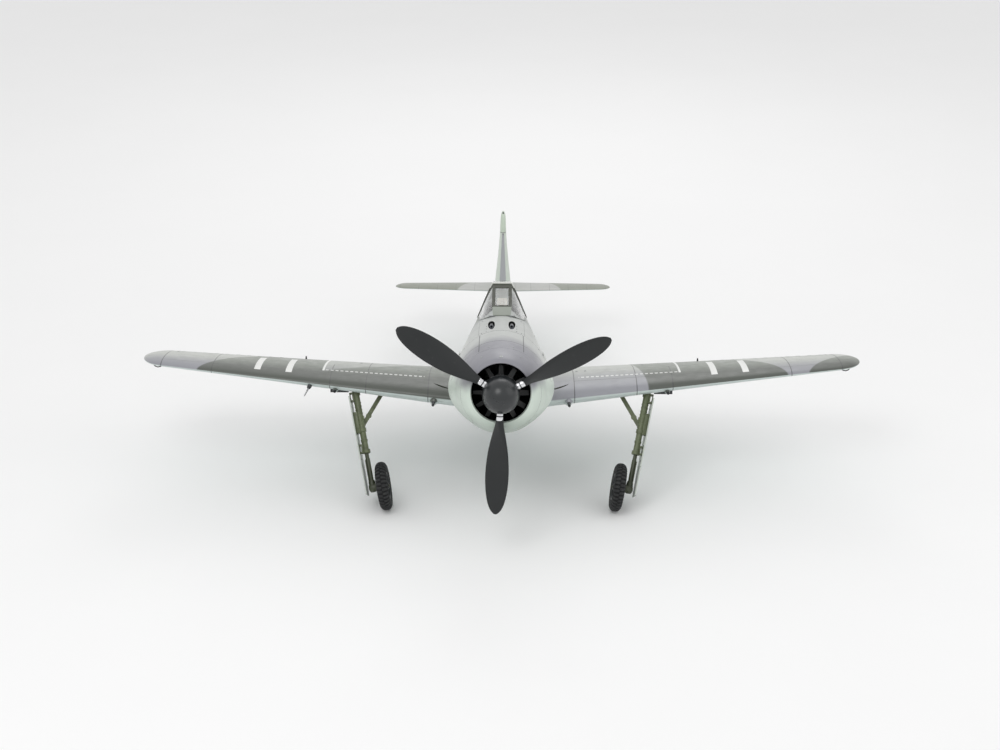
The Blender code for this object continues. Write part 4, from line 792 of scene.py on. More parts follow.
def body_angle(y, x):
    """The section angle of the upper surface at this x."""
    half, power = sampled(BODY_STATIONS, y)[2:]
    share = min(1.0, abs(x) / half) ** (power / 2)
    angle = math.acos(share)
    return angle if x >= 0 else math.pi - angle


def stud(point, normal, radius=0.0017):
    """A low fastener head with a driver slot."""
    height = 0.0006
    profile = ((-0.0008, radius), (height * 0.5, radius), (height, radius * 0.72),
               (height, radius * 0.34), (height * 0.3, radius * 0.30))
    return turned(profile, point, normal, 14)


def body_studs(places, radius=0.0017):
    return merged(*[stud(body_point(y, angle), body_normal(y, angle), radius)
                    for y, angle in places])


def side_bulge(point):
    """Push the cowl's skin out into the long blister over its side air duct."""
    along = (point.y - 0.150) / 0.075
    height = (point.z + 0.030) / 0.055
    reach = max(0.0, 1.0 - along * along) * max(0.0, 1.0 - height * height)
    return Vector((point.x + math.copysign(0.0125, point.x) * reach, point.y, point.z))


def build_cowling():
    count = 128
    outer = [body_ring(y, 0.0, count) for y in (0.010, 0.0115, 0.0135, 0.016, 0.020, 0.026, 0.032,
                                                0.041, 0.050, 0.060, 0.0694, 0.0697)]
    inner_radii = ((0.0697, 0.0700), (0.055, 0.0660), (0.040, 0.0620), (0.028, 0.0590),
                   (0.020, 0.0570), (0.0145, 0.0568), (0.0110, 0.0574), (0.0092, 0.0586))
    for y, radius in inner_radii:
        turns = [math.tau * (i + 0.5) / count for i in range(count)]
        outer.append([Vector((radius * math.cos(a), y, 0.001 + radius * math.sin(a)))
                      for a in turns])
    ring = loft(outer, loft_closed=True)
    # Faces inside the ring's mouth take the near-black, a painted shade inside the opening.
    for face in ring.faces:
        middle = face.calc_center_median()
        lining = min(0.0701, 0.059 + 0.35 * (middle.y - 0.02))
        if middle.y > 0.0135 and math.hypot(middle.x, middle.z) < 0.0705 \
                and math.hypot(middle.x, middle.z - 0.001) < lining:
            face.material_index = 1
    piece("nose_ring_skin", ring, "airframe", "cowl_paint", COWL, BLACK_AND_PAINTED_SHADE, replaces=("nose_ring",),
          sharp=50.0)

    rows = [0.0703, 0.0712] + spread(0.078, 0.192, 20) + [0.1990, 0.1997]
    skin = [[side_bulge(point) for point in body_ring(y, 0.0, count)] for y in rows]
    lining = [body_ring(y, -COWL_WALL, count) for y in reversed(rows)]
    cowl = loft(skin + lining, loft_closed=True)
    # Inward faces take the near-black, a painted shade inside the cowl.
    for face in cowl.faces:
        middle = face.calc_center_median()
        if face.normal.dot(Vector((middle.x, 0, middle.z))) < 0:
            face.material_index = 1
    cowl.normal_update()
    piece("cowl_skin", cowl, "airframe", "cowl_paint", COWL, BLACK_AND_PAINTED_SHADE, replaces=("engine_cowl",),
          sharp=40.0)

    places = [(0.043, math.radians(a)) for a in (-48, -132, 20, 160, 62, 118)]
    places += [(0.082, math.radians(a)) for a in (-75, -105, -35, -145, 5, 175, 42, 138, 75, 105)]
    places += [(0.190, math.radians(a)) for a in (-60, -120, 12, 168, 38, 142)]
    piece("cowl_fasteners", body_studs(places, 0.0020), "airframe", "bright_metal", ALLOY)
    cap_point, up = body_point(0.0245, math.pi / 2), body_normal(0.0245, math.pi / 2)
    cap = turned(((-0.001, 0.0040), (0.0004, 0.0040), (0.0010, 0.0034), (0.0010, 0.0026),
                  (0.0004, 0.0024), (0.0004, 0.0010), (0.0012, 0.0008)), cap_point, up, 24)
    piece("oil_filler_cap", cap, "airframe", "bright_metal", ALLOY)
    gills = []
    for side in (1, -1):
        for row in range(5):
            start = math.radians(20 - 11 * row)
            angles = [start + math.radians(9 * i / 6) for i in range(7)]
            if side < 0:
                angles = [math.pi - a for a in angles]

            def plate(extra, angles=angles):
                lifts = ((0.2045, 0.0003), (0.214, 0.0011), (0.2245, 0.0022))
                return [[body_point(y, a, lift + extra) for a in angles] for y, lift in lifts]
            gills.append(shell_loft(plate(0.0009), plate(0.0)))
    piece("cooling_gills", merged(*gills), "airframe", "fuselage_paint", BODY)
    stacks = []
    for side in (1, -1):
        for row in range(4):
            angle = math.radians(-42 - 8 * row)
            angle = angle if side > 0 else math.pi - angle
            start, end = body_point(0.186, angle, -0.004), body_point(0.2125, angle, 0.0030)
            length = (end - start).length
            stacks.append(turned(((0.0, 0.0036), (length, 0.0036), (length, 0.0029),
                                  (0.004, 0.0029)), start, end - start, 18, closed=True))
    piece("exhaust_stacks", merged(*stacks), "airframe", "gun_metal", GUN)


def fin_ring(z, lead, post, half, post_half):
    """Fin outline at one height: a rounded nose and a blunt hinge post."""
    chord = post - lead
    shape = [(s, half * w) for s, w in ((0.0, 0.0), (0.04, 0.42), (0.16, 0.80), (0.40, 1.0))]
    shape += [(0.75, 0.45 * half + 0.60 * post_half), (1.0, post_half)]
    squares = [(s, w * w) for s, w in shape]
    left = []
    for i in range(25):
        share = (i / 24) ** 1.8
        width = math.sqrt(max(0.0, sampled(squares, share)[0]))
        left.append((width, lead + chord * share))
    return [Vector((x, y, z)) for x, y in left] + \
           [Vector((-x, y, z)) for x, y in reversed(left[1:])]


FIN_LEVELS = ((0.040, 0.955, TAIL_POST, 0.0140, 0.0070), (0.056, 0.970, TAIL_POST, 0.0185, 0.0078),
              (0.075, 0.988, TAIL_POST, 0.0185, 0.0078), (0.120, 1.025, 1.1375, 0.0135, 0.0068),
              (0.180, 1.066, 1.1370, 0.0080, 0.0056), (0.214, 1.091, 1.1365, 0.0066, 0.0048),
              (0.227, 1.106, 1.1362, 0.0054, 0.0040), (0.232, 1.122, 1.1360, 0.0036, 0.0028))


def foil_height(share, ratio, upper):
    """Height over the chord line, as a share of the chord."""
    root = 0.2969 * math.sqrt(share) - 0.1260 * share - 0.3516 * share ** 2
    half = 5 * ratio * (root + 0.2843 * share ** 3 - 0.1036 * share ** 4) + 0.0022 * share
    camber = 0.02 * 4 * share * (1 - share)
    return camber + half if upper else camber - half


def foil_ring(lead, trail, ratio, place, count=30, grow=0.0):
    """Section points from the trailing edge over the top to the nose and back underneath."""
    chord = trail - lead
    shares = [0.5 - 0.5 * math.cos(math.pi * i / count) for i in range(count + 1)]
    points = [(s, foil_height(s, ratio, True) * chord + grow) for s in reversed(shares[1:])]
    points += [(0.0, 0.0)]
    points += [(s, foil_height(s, ratio, False) * chord - grow) for s in shares[1:]]
    return [place(lead + chord * s, h) for s, h in points]


TAIL_SPAN, TAIL_Z, TAIL_HINGE_Y, RUDDER_HINGE_Y = 0.262, 0.054, 1.112, 1.1455


def tail_ring(x, grow=0.0):
    share = abs(x) / TAIL_SPAN
    lead = 1.010 + 0.042 * share
    trail = 1.160 - 0.020 * share
    if share > 0.90:
        curve = math.sqrt(max(0.0, 1.0 - ((share - 0.90) / 0.102) ** 2))
        lead = 1.085 + (lead - 1.085) * curve
        trail = 1.085 + (trail - 1.085) * curve
    return foil_ring(lead - grow, trail + grow, 0.085,
                     lambda y, h: Vector((x, y, TAIL_Z + h * 0.9)), 20, grow)


def tail_blank(grow=0.0, reach=1.0):
    tips = (0.90, 0.92, 0.94, 0.96, 0.975, 0.988, 0.996, 1.0)
    shares = [-share for share in reversed(tips)] + [-0.45, 0.0, 0.45] + list(tips)
    return loft([tail_ring(TAIL_SPAN * share * reach, grow) for share in shares])


ROOT_LE, ROOT_TE, TIP_LE, TIP_TE = 0.249, 0.599, 0.306, 0.480
WING_ROOT_X, WING_TIP_X, HALF_SPAN, WING_ROOT_Z = 0.093, 0.700, 0.750, -0.063
DIHEDRAL = math.radians(5.6)
AILERON_X, AILERON_CHORD = (0.468, 0.690), 0.76
FLAP_X, FLAP_CHORD, FLAP_PLATE = (0.104, 0.456), 0.79, 0.0022


def saddle_prism():
    outline = foil_ring(ROOT_LE, ROOT_TE, 0.155, lambda y, h: (y, WING_ROOT_Z + h), grow=0.0005)
    top = outline[:len(outline) // 2 + 1]
    profile = [(ROOT_TE + 0.0006, top[0][1])] + top[1:-1]
    profile += [(ROOT_LE - 0.0006, top[-1][1]), (ROOT_LE - 0.0006, -0.15),
                (ROOT_TE + 0.0006, -0.15)]
    return loft([[Vector((x, y, z)) for y, z in profile] for x in (-0.12, 0.12)])


def hollow():
    return body_loft(0.185, 1.060, -BODY_WALL, 0.030, 64)


def build_fuselage():
    low, high = HATCH_Y
    hatch_hole = box((-HATCH_HALF - GAP, low - GAP, 0.045), (HATCH_HALF + GAP, high + GAP, 0.12))
    cockpit_hole = box((-COCKPIT_HALF, COCKPIT_Y[0], 0.020), (COCKPIT_HALF, COCKPIT_Y[1], 0.12))
    fin = loft([fin_ring(z, *sampled(FIN_LEVELS, z)) for z in
                (0.045, 0.06, 0.075, 0.09, 0.105, 0.12, 0.14, 0.16, 0.18, 0.197, 0.214, 0.221,
                 0.227, 0.230, 0.232)])
    # Faces cut inside the fuselage and its holes take the near-black, a painted shade.
    skin = carve(
        body_loft(0.2003, TAIL_POST), BODY,
        ("UNION", fin, BODY), ("DIFFERENCE", hollow(), BLACK_AND_PAINTED_SHADE),
        ("DIFFERENCE", saddle_prism(), BLACK_AND_PAINTED_SHADE), ("DIFFERENCE", hatch_hole, BLACK_AND_PAINTED_SHADE),
        ("DIFFERENCE", cockpit_hole, COCKPIT), ("DIFFERENCE", tail_blank(GAP, 0.5), BLACK_AND_PAINTED_SHADE),
        ("DIFFERENCE", rod((-0.0237, TAIL_HINGE_Y, TAIL_Z), (0.0237, TAIL_HINGE_Y, TAIL_Z),
                           0.0042), BLACK_AND_PAINTED_SHADE),
        ("DIFFERENCE", rod((0.0, 1.078, -0.05), (0.0, 1.078, 0.034), 0.0046), BLACK_AND_PAINTED_SHADE))
    piece("fuselage_skin", skin, "airframe", "fuselage_paint", replaces=("fuselage",), sharp=30.0)

    places = [(y, math.radians(a)) for y in (0.212, 0.40) for a in (28, 152)]
    piece("body_fasteners", body_studs(places, 0.0016), "airframe", "bright_metal", ALLOY)
    mast = merged(rod((0.0, 1.118, 0.229), (0.0, 1.116, 0.2335), 0.0022, 0.0016, chamfer=0.0004),
                  rod((0.0, 1.1165, 0.1835), (0.0, 1.0640, 0.1850), 0.0011, 0.0009))
    piece("fin_antenna_post", mast, "airframe", "gun_metal", GUN)


def build_hatch():
    low, high = HATCH_Y
    # The hatch's inner faces take the near-black, a painted shade.
    steps = [("DIFFERENCE", hollow(), BLACK_AND_PAINTED_SHADE),
             ("INTERSECT", box((-HATCH_HALF, low, 0.046), (HATCH_HALF, high, 0.12)), BLACK_AND_PAINTED_SHADE)]
    liners, barrels, ends = [], [], []
    for side in (1, -1):
        x = GUN_PORT_X * side
        path = [(x, 0.206, 0.0955), (x, 0.232, 0.0930), (x, 0.262, 0.0900), (x, 0.300, 0.0862)]
        radii = (0.0028, 0.0050, 0.0068, 0.0078)

        def tube(extra):
            return loft([circle(point, Y_AXIS, radius + extra, 28)
                         for point, radius in zip(path, radii)])
        steps.append(("DIFFERENCE", tube(0.0), TROUGH))
        liner = carve(tube(0.0009), TROUGH,
                      ("DIFFERENCE", placed(tube(0.0), Matrix.Translation((0, 0.0002, 0))), TROUGH),
                      ("INTERSECT", body_loft(0.203, 0.34, -0.0002), TROUGH))
        liners.append(liner)
        ends.append(turned(((0.0, 0.0077), (0.0012, 0.0077)), (x, 0.2985, 0.0862), Y_AXIS, 32))
        barrels.append(turned(((0.0, 0.0026), (0.0, 0.0040), (0.0030, 0.0044), (0.0060, 0.0040),
                               (0.0060, 0.0030), (0.0280, 0.0030), (0.0280, 0.0010),
                               (0.003, 0.0010)),
                              (x, 0.2705, 0.0872), Y_AXIS, 28, closed=True))
    piece("hatch_skin", carve(body_loft(0.2003, 0.43), BODY, *steps), "hatch", "fuselage_paint",
          replaces=("battery_hatch",), sharp=30.0)
    for side, liner in zip((1, -1), liners):
        piece("gun_trough_" + side_name(side), liner, "hatch", "fuselage_paint")
    # The gun tunnels' rear faces are near-black, a painted shade at the back of the troughs.
    piece("gun_port_ends", merged(*ends), "hatch", "gun_metal", BLACK_AND_PAINTED_SHADE)
    piece("cowl_gun_muzzles", merged(*barrels), "hatch", "bright_metal", STEEL)
    places = [(y, body_angle(y, side * 0.0305)) for side in (1, -1) for y in (0.214, 0.242, 0.270)]
    places += [(y, body_angle(y, side * 0.040)) for side in (1, -1) for y in (0.212, 0.360)]
    piece("hatch_fasteners", body_studs(places, 0.0013), "hatch", "bright_metal", STEEL)
    knuckles = [rod((x - 0.006, high + 0.0001, 0.0934), (x + 0.006, high + 0.0001, 0.0934), 0.0011,
                    chamfer=0.0002) for x in (-0.022, 0.022)]
    piece("hatch_hinge_knuckles", merged(*knuckles), "airframe", "bright_metal", STEEL)


# ---------------------------------------------------------------- wings
def wing_chord(x):
    """Leading edge y, trailing edge y, height and thickness ratio of the wing at x."""
    share = max(0.0, min(1.0, (x - WING_ROOT_X) / (WING_TIP_X - WING_ROOT_X)))
    lead = ROOT_LE + (TIP_LE - ROOT_LE) * share
    trail = ROOT_TE + (TIP_TE - ROOT_TE) * share
    height = WING_ROOT_Z + math.tan(DIHEDRAL) * max(0.0, x - WING_ROOT_X)
    ratio = 0.155 + (0.090 - 0.155) * share
    if x > WING_TIP_X:
        curve = math.sqrt(max(0.0, 1.0 - ((x - WING_TIP_X) / (HALF_SPAN - WING_TIP_X)) ** 2))
        middle = lead + 0.45 * (trail - lead)
        lead = middle + (lead - middle) * curve
        trail = middle + (trail - middle) * curve
    return lead, trail, height, ratio


def wing_point(x, share, upper=None, lift=0.0):
    """A point on the wing at x: on its chord line, or on one of its skins."""
    lead, trail, height, ratio = wing_chord(x)
    chord = trail - lead
    rise = 0.02 * 4 * share * (1 - share)
    if upper is not None:
        rise = foil_height(share, ratio, upper)
        height += lift if upper else -lift
    return Vector((x, lead + chord * share, height + rise * chord))


def wing_blank(side):
    xs = [0.00015, WING_ROOT_X] + spread(0.15, 0.70, 12)
    xs += [0.708, 0.716, 0.724, 0.731, 0.737, 0.742, 0.7455, 0.7475, 0.7485]
    rings = []
    for x in xs:
        lead, trail, height, ratio = wing_chord(x)
        rings.append(foil_ring(lead, trail, ratio,
                               lambda y, h, x=x, z=height: Vector((x, y, z + h))))
    return mirrored(loft(rings), side)


def prism(near, far, outline):
    """A long cutter: one outline of (y, z) steps, set at each of two points."""
    return loft([[point + Vector((0.0, dy, dz)) for dy, dz in outline] for point in (near, far)])


def flap_slab(margin):
    rings = []
    for x, nudge in zip(FLAP_X, (-margin, margin)):
        hinge = wing_point(x, FLAP_CHORD, upper=False)
        tail = wing_point(x, 0.985, upper=False)
        lift = FLAP_PLATE + margin
        corners = ((hinge.y - margin, hinge.z + lift), (tail.y + margin, tail.z + lift * 0.55),
                   (tail.y + margin, tail.z - 0.02), (hinge.y - margin, hinge.z - 0.02))
        rings.append([Vector((x + nudge, y, z)) for y, z in corners])
    return loft(rings)


# ---------------------------------------------------------------- main gear geometry
WHEEL_RADIUS, TYRE_CROWN, AXLE_OFFSET = 0.050, 0.0122, 0.0225
WHEEL_CANT = math.radians(9.0)
LEG_PIVOT = Vector((0.303, 0.303, -0.047))
AXLE_DOWN = Vector((0.2615, 0.224, -0.240))
AXLE_UP_YZ = (0.325, -0.083)
BRACE_FOOT, BRACE_HEAD, LEG_SHARE, DOOR_OFFSET, DOOR_HALF = 0.086, 0.060, 0.66, 0.0135, 0.026
OLEO_TRAVEL = 0.0105


def strut_frame(along, outward):
    square = (outward - along * outward.dot(along)).normalized()
    return Matrix((along, square, along.cross(square))).transposed()


def retract_geometry():
    """The one hinge that swings the leg from AXLE_DOWN to its bay with the wheel near flat."""
    down = AXLE_DOWN - LEG_PIVOT
    length = down.length
    across, rise = AXLE_UP_YZ[0] - LEG_PIVOT.y, AXLE_UP_YZ[1] - LEG_PIVOT.z
    inward = -math.sqrt(length ** 2 - across ** 2 - rise ** 2)
    axle_down = Vector((math.cos(WHEEL_CANT), 0.0, -math.sin(WHEEL_CANT)))
    strut_down = down / length
    strut_up = Vector((inward, across, rise)) / length
    lean = strut_down.dot(axle_down)
    straight = Vector((0.0, 0.0, -1.0))
    straight = (straight - strut_up * straight.dot(strut_up)).normalized()
    axle_up = strut_up * lean + straight * math.sqrt(1.0 - lean * lean)
    turn = strut_frame(strut_up, axle_up) @ strut_frame(strut_down, axle_down).transposed()
    axis, angle = turn.to_quaternion().to_axis_angle()
    return {"length": length, "down": strut_down, "up": strut_up, "axle_down": axle_down,
            "axle_up": axle_up, "axis": Vector(axis), "angle": angle, "turn": turn}


GEAR = retract_geometry()


def brace_geometry():
    """Two links in one plane: straight with the leg down, folded flat with the leg up."""
    axis = GEAR["axis"]
    flat_down = (GEAR["down"] - axis * GEAR["down"].dot(axis)).normalized()
    flat_up = GEAR["turn"] @ flat_down
    foot, head = LEG_PIVOT + flat_down * BRACE_FOOT, LEG_PIVOT + flat_up * BRACE_HEAD
    total = (foot - head).length
    upper = (total + BRACE_FOOT - BRACE_HEAD) / 2
    knuckle = head + (foot - head) * (upper / total)
    return {"foot": foot, "head": head, "knuckle": knuckle, "upper": upper, "flat_up": flat_up,
            "shift": GEAR["down"].dot(axis) * BRACE_FOOT}


BRACE = brace_geometry()


def gear_matrix(up):
    """Frame at the leg's pivot: X down the strut, Y outward through the door, Z forward."""
    along = GEAR["up"] if up else GEAR["down"]
    outward = GEAR["axle_up"] if up else GEAR["axle_down"]
    return Matrix.Translation(LEG_PIVOT) @ strut_frame(along, outward).to_4x4()


def wheel_bay(wheel, axle):
    """The wheel's bay: an oblong that also clears the tyre with its oleo pushed in."""
    count = 40
    across = Vector((0.0, 0.0, 1.0))
    along = across.cross(axle)
    along *= math.copysign(1.0, along.x)
    rings = []
    for depth in (-(TYRE_CROWN + 0.0018), 0.10):
        ring = []
        for heading, shift in ((1.0, 0.0), (-1.0, OLEO_TRAVEL)):
            centre = wheel + axle * depth - along * shift
            for i in range(count + 1):
                angle = math.pi * (i / count - 0.5)
                spoke = heading * (along * math.cos(angle) + across * math.sin(angle))
                ring.append(centre + spoke * (WHEEL_RADIUS + 0.0045))
        rings.append(ring)
    return loft(rings)


def well_tools(side):
    """Cutters for the wheel bay, leg trough, door recess, retract unit and folded brace."""
    up, length = gear_matrix(True), GEAR["length"]
    lean = GEAR["up"].dot(GEAR["axle_up"])
    axle = Vector((lean, math.sqrt(1.0 - lean * lean), 0.0))
    bay = wheel_bay(Vector((length, 0.0, 0.0)) - axle * AXLE_OFFSET, axle)
    trough = box((-0.012, -0.0095, -0.013), (length, 0.08, 0.0215))
    recess_half = DOOR_HALF + 0.0015
    recess = box((0.010, DOOR_OFFSET - 0.0035, -recess_half), (length - 0.004, 0.08, recess_half))
    along, axis = BRACE["flat_up"], GEAR["axis"]
    fold = Matrix((along, along.cross(axis), axis)).transposed().to_4x4()
    pocket = box((BRACE_HEAD - 0.0200, -0.0065, BRACE["shift"] + 0.0065),
                 (BRACE_HEAD + BRACE["upper"] + 0.0065, 0.08, BRACE["shift"] + 0.0175))
    tools = [placed(bay, up), placed(trough, up), placed(recess, up),
             box((0.286, 0.2872, -0.085), (0.3535, 0.3245, -0.0300)),
             placed(pocket, Matrix.Translation(LEG_PIVOT) @ fold)]
    # Every cut face of the wells takes the darker olive: painted shade inside them.
    return [("DIFFERENCE", mirrored(tool, side), OLIVE_PAINTED_SHADE) for tool in tools]


ROOT_GUN = (0.138, -0.0655, 0.215, 0.0034, 0.0750)
OUTER_GUN = (0.341, -0.0475, 0.258, 0.0030, 0.0260)
PITOT = (0.394, -0.0405, 0.180, 0.0013)


def rib_strips(first, last, count, shares, body, name, side):
    """Raised fabric tapes over a control surface's ribs."""
    tapes = []
    for x in spread(first, last, count):
        for upper in (True, False):
            rows = [[wing_point(x + dx, s, upper, lift) for dx in (-0.0014, 0.0014)]
                    for s in spread(*shares, 7) for lift in (0.00035,)]
            base = [[wing_point(x + dx, s, upper, -0.0003) for dx in (-0.0014, 0.0014)]
                    for s in spread(*shares, 7)]
            tapes.append(shell_loft(rows, base))
    piece(name + side_name(side), mirrored(merged(*tapes), side), body, "wing_paint", WING)


def build_wing(side):
    name = side_name(side)
    low = (0.00015, ROOT_LE + 0.0012, -0.15)
    high = (0.12, ROOT_TE - 0.0012, WING_ROOT_Z)
    belly = carve(body_loft(0.22, 0.65), WING,
                  ("INTERSECT", mirrored(box(low, high), side), WING))
    steps = [("UNION", belly, WING)] + well_tools(side)
    near, far = (wing_point(x, AILERON_CHORD) for x in AILERON_X)
    step = (far - near).normalized() * 0.0014
    bay = prism(near - step, far + step, ((-0.0007, 0.06), (0.20, 0.06), (0.20, -0.06),
                                          (-0.0007, -0.06)))
    # The aileron bay, spar, gun, pocket and pitot holes are lined in near-black, a painted shade
    # inside them.
    steps.append(("DIFFERENCE", mirrored(bay, side), BLACK_AND_PAINTED_SHADE))
    # The flap recess is lined with the darker olive, a painted shade.
    steps.append(("DIFFERENCE", mirrored(flap_slab(0.0004), side), OLIVE_PAINTED_SHADE))
    spar = rod((-0.01, 0.410, -0.056), (0.1605, 0.410, -0.056), 0.0063)
    steps.append(("DIFFERENCE", mirrored(spar, side), BLACK_AND_PAINTED_SHADE))
    for x, z, muzzle, radius, length in (ROOT_GUN, OUTER_GUN):
        hole = rod((x, 0.20, z), (x, muzzle + length + GAP, z), radius + GAP)
        steps.append(("DIFFERENCE", mirrored(hole, side), BLACK_AND_PAINTED_SHADE))
    spot = wing_point(0.520, 0.52, upper=False)
    pocket = box(spot + Vector((-0.0125, -0.0075, -0.03)), spot + Vector((0.0125, 0.0195, 0.0125)))
    steps.append(("DIFFERENCE", mirrored(pocket, side), BLACK_AND_PAINTED_SHADE))
    if side < 0:
        x, z, _, radius = PITOT
        steps.append(("DIFFERENCE", rod((-x, 0.25, z), (-x, 0.3305, z), radius + GAP), BLACK_AND_PAINTED_SHADE))
    piece("wing_skin_" + name, carve(wing_blank(side), WING, *steps), "airframe", "wing_paint",
          replaces=("wing_" + name,), sharp=28.0)

    blank = prism(near, far, ((0.0, 0.0), (0.0248, 0.04), (0.20, 0.04), (0.20, -0.04),
                              (0.0248, -0.04)))
    aileron = carve(wing_blank(side), WING, ("INTERSECT", mirrored(blank, side), WING))
    piece("aileron_skin_" + name, aileron, "aileron_%s_body" % name, "wing_paint",
          replaces=("aileron_" + name,), sharp=28.0)
    rib_strips(AILERON_X[0] + 0.008, AILERON_X[1] - 0.008, 10, (0.80, 0.985),
               "aileron_%s_body" % name, "aileron_ribs_", side)
    flap = carve(wing_blank(side), WING, ("INTERSECT", mirrored(flap_slab(0.0), side), OLIVE_PAINTED_SHADE))
    piece("flap_skin_" + name, flap, "flap_%s_body" % name, "wing_paint",
          replaces=("flap_" + name,), sharp=28.0)
    build_wing_fittings(side, name)


def build_wing_fittings(side, name):
    blisters, barrels, caps, pins = [], [], [], []
    for (x, z, muzzle, radius, length), size, start in ((ROOT_GUN, 0.0100, 0.2385),
                                                        (OUTER_GUN, 0.0062, 0.2655)):
        lead = wing_chord(x)[0]
        profile = [(start - muzzle, radius + GAP)]
        for i in range(1, 13):
            t = i / 12
            width = radius + GAP + (size - radius) * math.sin(math.pi * min(1.0, t * 1.25) * 0.5)
            reach = start - muzzle + (lead + 0.030 - start) * t
            profile.append((reach, width * (1 - 0.5 * t ** 4)))
        profile += [(profile[-1][0], radius + GAP)]
        blisters.append(turned(profile, (x, muzzle, z), Y_AXIS, 32, closed=True))
        sleeve = length * 0.28
        barrels.append(turned(((0.004, radius * 0.45), (0.0, radius * 0.50), (0.0, radius * 0.74),
                               (0.0008, radius * 0.8), (sleeve, radius * 0.8),
                               (sleeve + 0.0018, radius), (length, radius),
                               (length, radius * 0.45)), (x, muzzle, z), Y_AXIS, 28, closed=True))
    piece("gun_blisters_" + name, mirrored(merged(*blisters), side), "airframe", "wing_paint", WING)
    piece("gun_barrels_" + name, mirrored(merged(*barrels), side), "airframe", "gun_metal", GUN,
          replaces=("root_gun_" + name, "outer_gun_" + name))
    for x, share in ((0.158, 0.395), (0.176, 0.395), (0.300, 0.62)):
        point = wing_point(x, share, True)
        caps.append(turned(((-0.0006, 0.0030), (0.0005, 0.0030), (0.0008, 0.0026),
                            (0.0008, 0.0019), (0.0003, 0.0017), (0.0003, 0.0006)),
                           point, Vector((0, -0.1, 1)), 20))
    piece("wing_caps_" + name, mirrored(merged(*caps), side), "airframe", "light_alloy", ALLOY)
    spot = wing_point(0.424, 0.90, True)
    pins.append(rod(spot - Vector((0, 0, 0.002)), spot + Vector((0, 0, 0.0065)), 0.0022, 0.0012,
                    chamfer=0.0003))
    arm = wing_point(0.520, 0.58, False)
    horn = wing_point(0.520, 0.80, False)
    pins.append(box(arm + Vector((-0.0022, -0.001, -0.0048)),
                    arm + Vector((0.0022, 0.001, 0.0015)), 0.0003))
    pins.append(bent_tube([arm + Vector((0, 0, -0.0040)),
                           (arm + horn) / 2 + Vector((0, 0, -0.0046)),
                           horn + Vector((0, -0.010, -0.0030))], 0.0007, 10))
    hook = wing_point(0.712, 0.16, False)
    bends = ((-0.006, 0.0, 0.0010), (-0.004, -0.003, -0.003), (0.002, -0.005, -0.0038),
             (0.008, -0.003, -0.002), (0.011, 0.001, 0.0008))
    pins.append(bent_tube([hook + Vector(bend) for bend in bends], 0.0011, 10))
    piece("wing_fittings_" + name, mirrored(merged(*pins), side), "airframe", "gun_metal", GUN)
    height = wing_chord(0.746)[2]
    lamp = turned(((-0.006, 0.0012), (-0.004, 0.0026), (0.0, 0.0032), (0.0016, 0.0026),
                   (0.0026, 0.0014), (0.0030, 0.0002)),
                  (0.7445, 0.384, height + 0.0006), X_AXIS, 24)
    piece("tip_lamp_" + name, mirrored(lamp, side), "airframe", "clear_glazing",
          RED_LAMP if side > 0 else GREEN_LAMP)
    if side < 0:
        x, z, tip, radius = PITOT
        probe = turned(((0.0012, 0.0004), (0.0, 0.0006), (0.0004, 0.0009), (0.014, radius),
                        (0.052, radius), (0.054, 0.0019), (0.060, 0.0019), (0.062, radius),
                        (0.150, radius)), (-x, tip, z), Y_AXIS, 20)
        socket = turned(((0.0, 0.0016), (0.004, 0.0038), (0.016, 0.0046), (0.030, 0.0044)),
                        (-x, 0.262, z), Y_AXIS, 28)
        piece("pitot_socket", socket, "airframe", "gun_metal", GUN)
        piece("pitot_probe", probe, "airframe", "bright_metal", STEEL, replaces=("pitot_tube",))


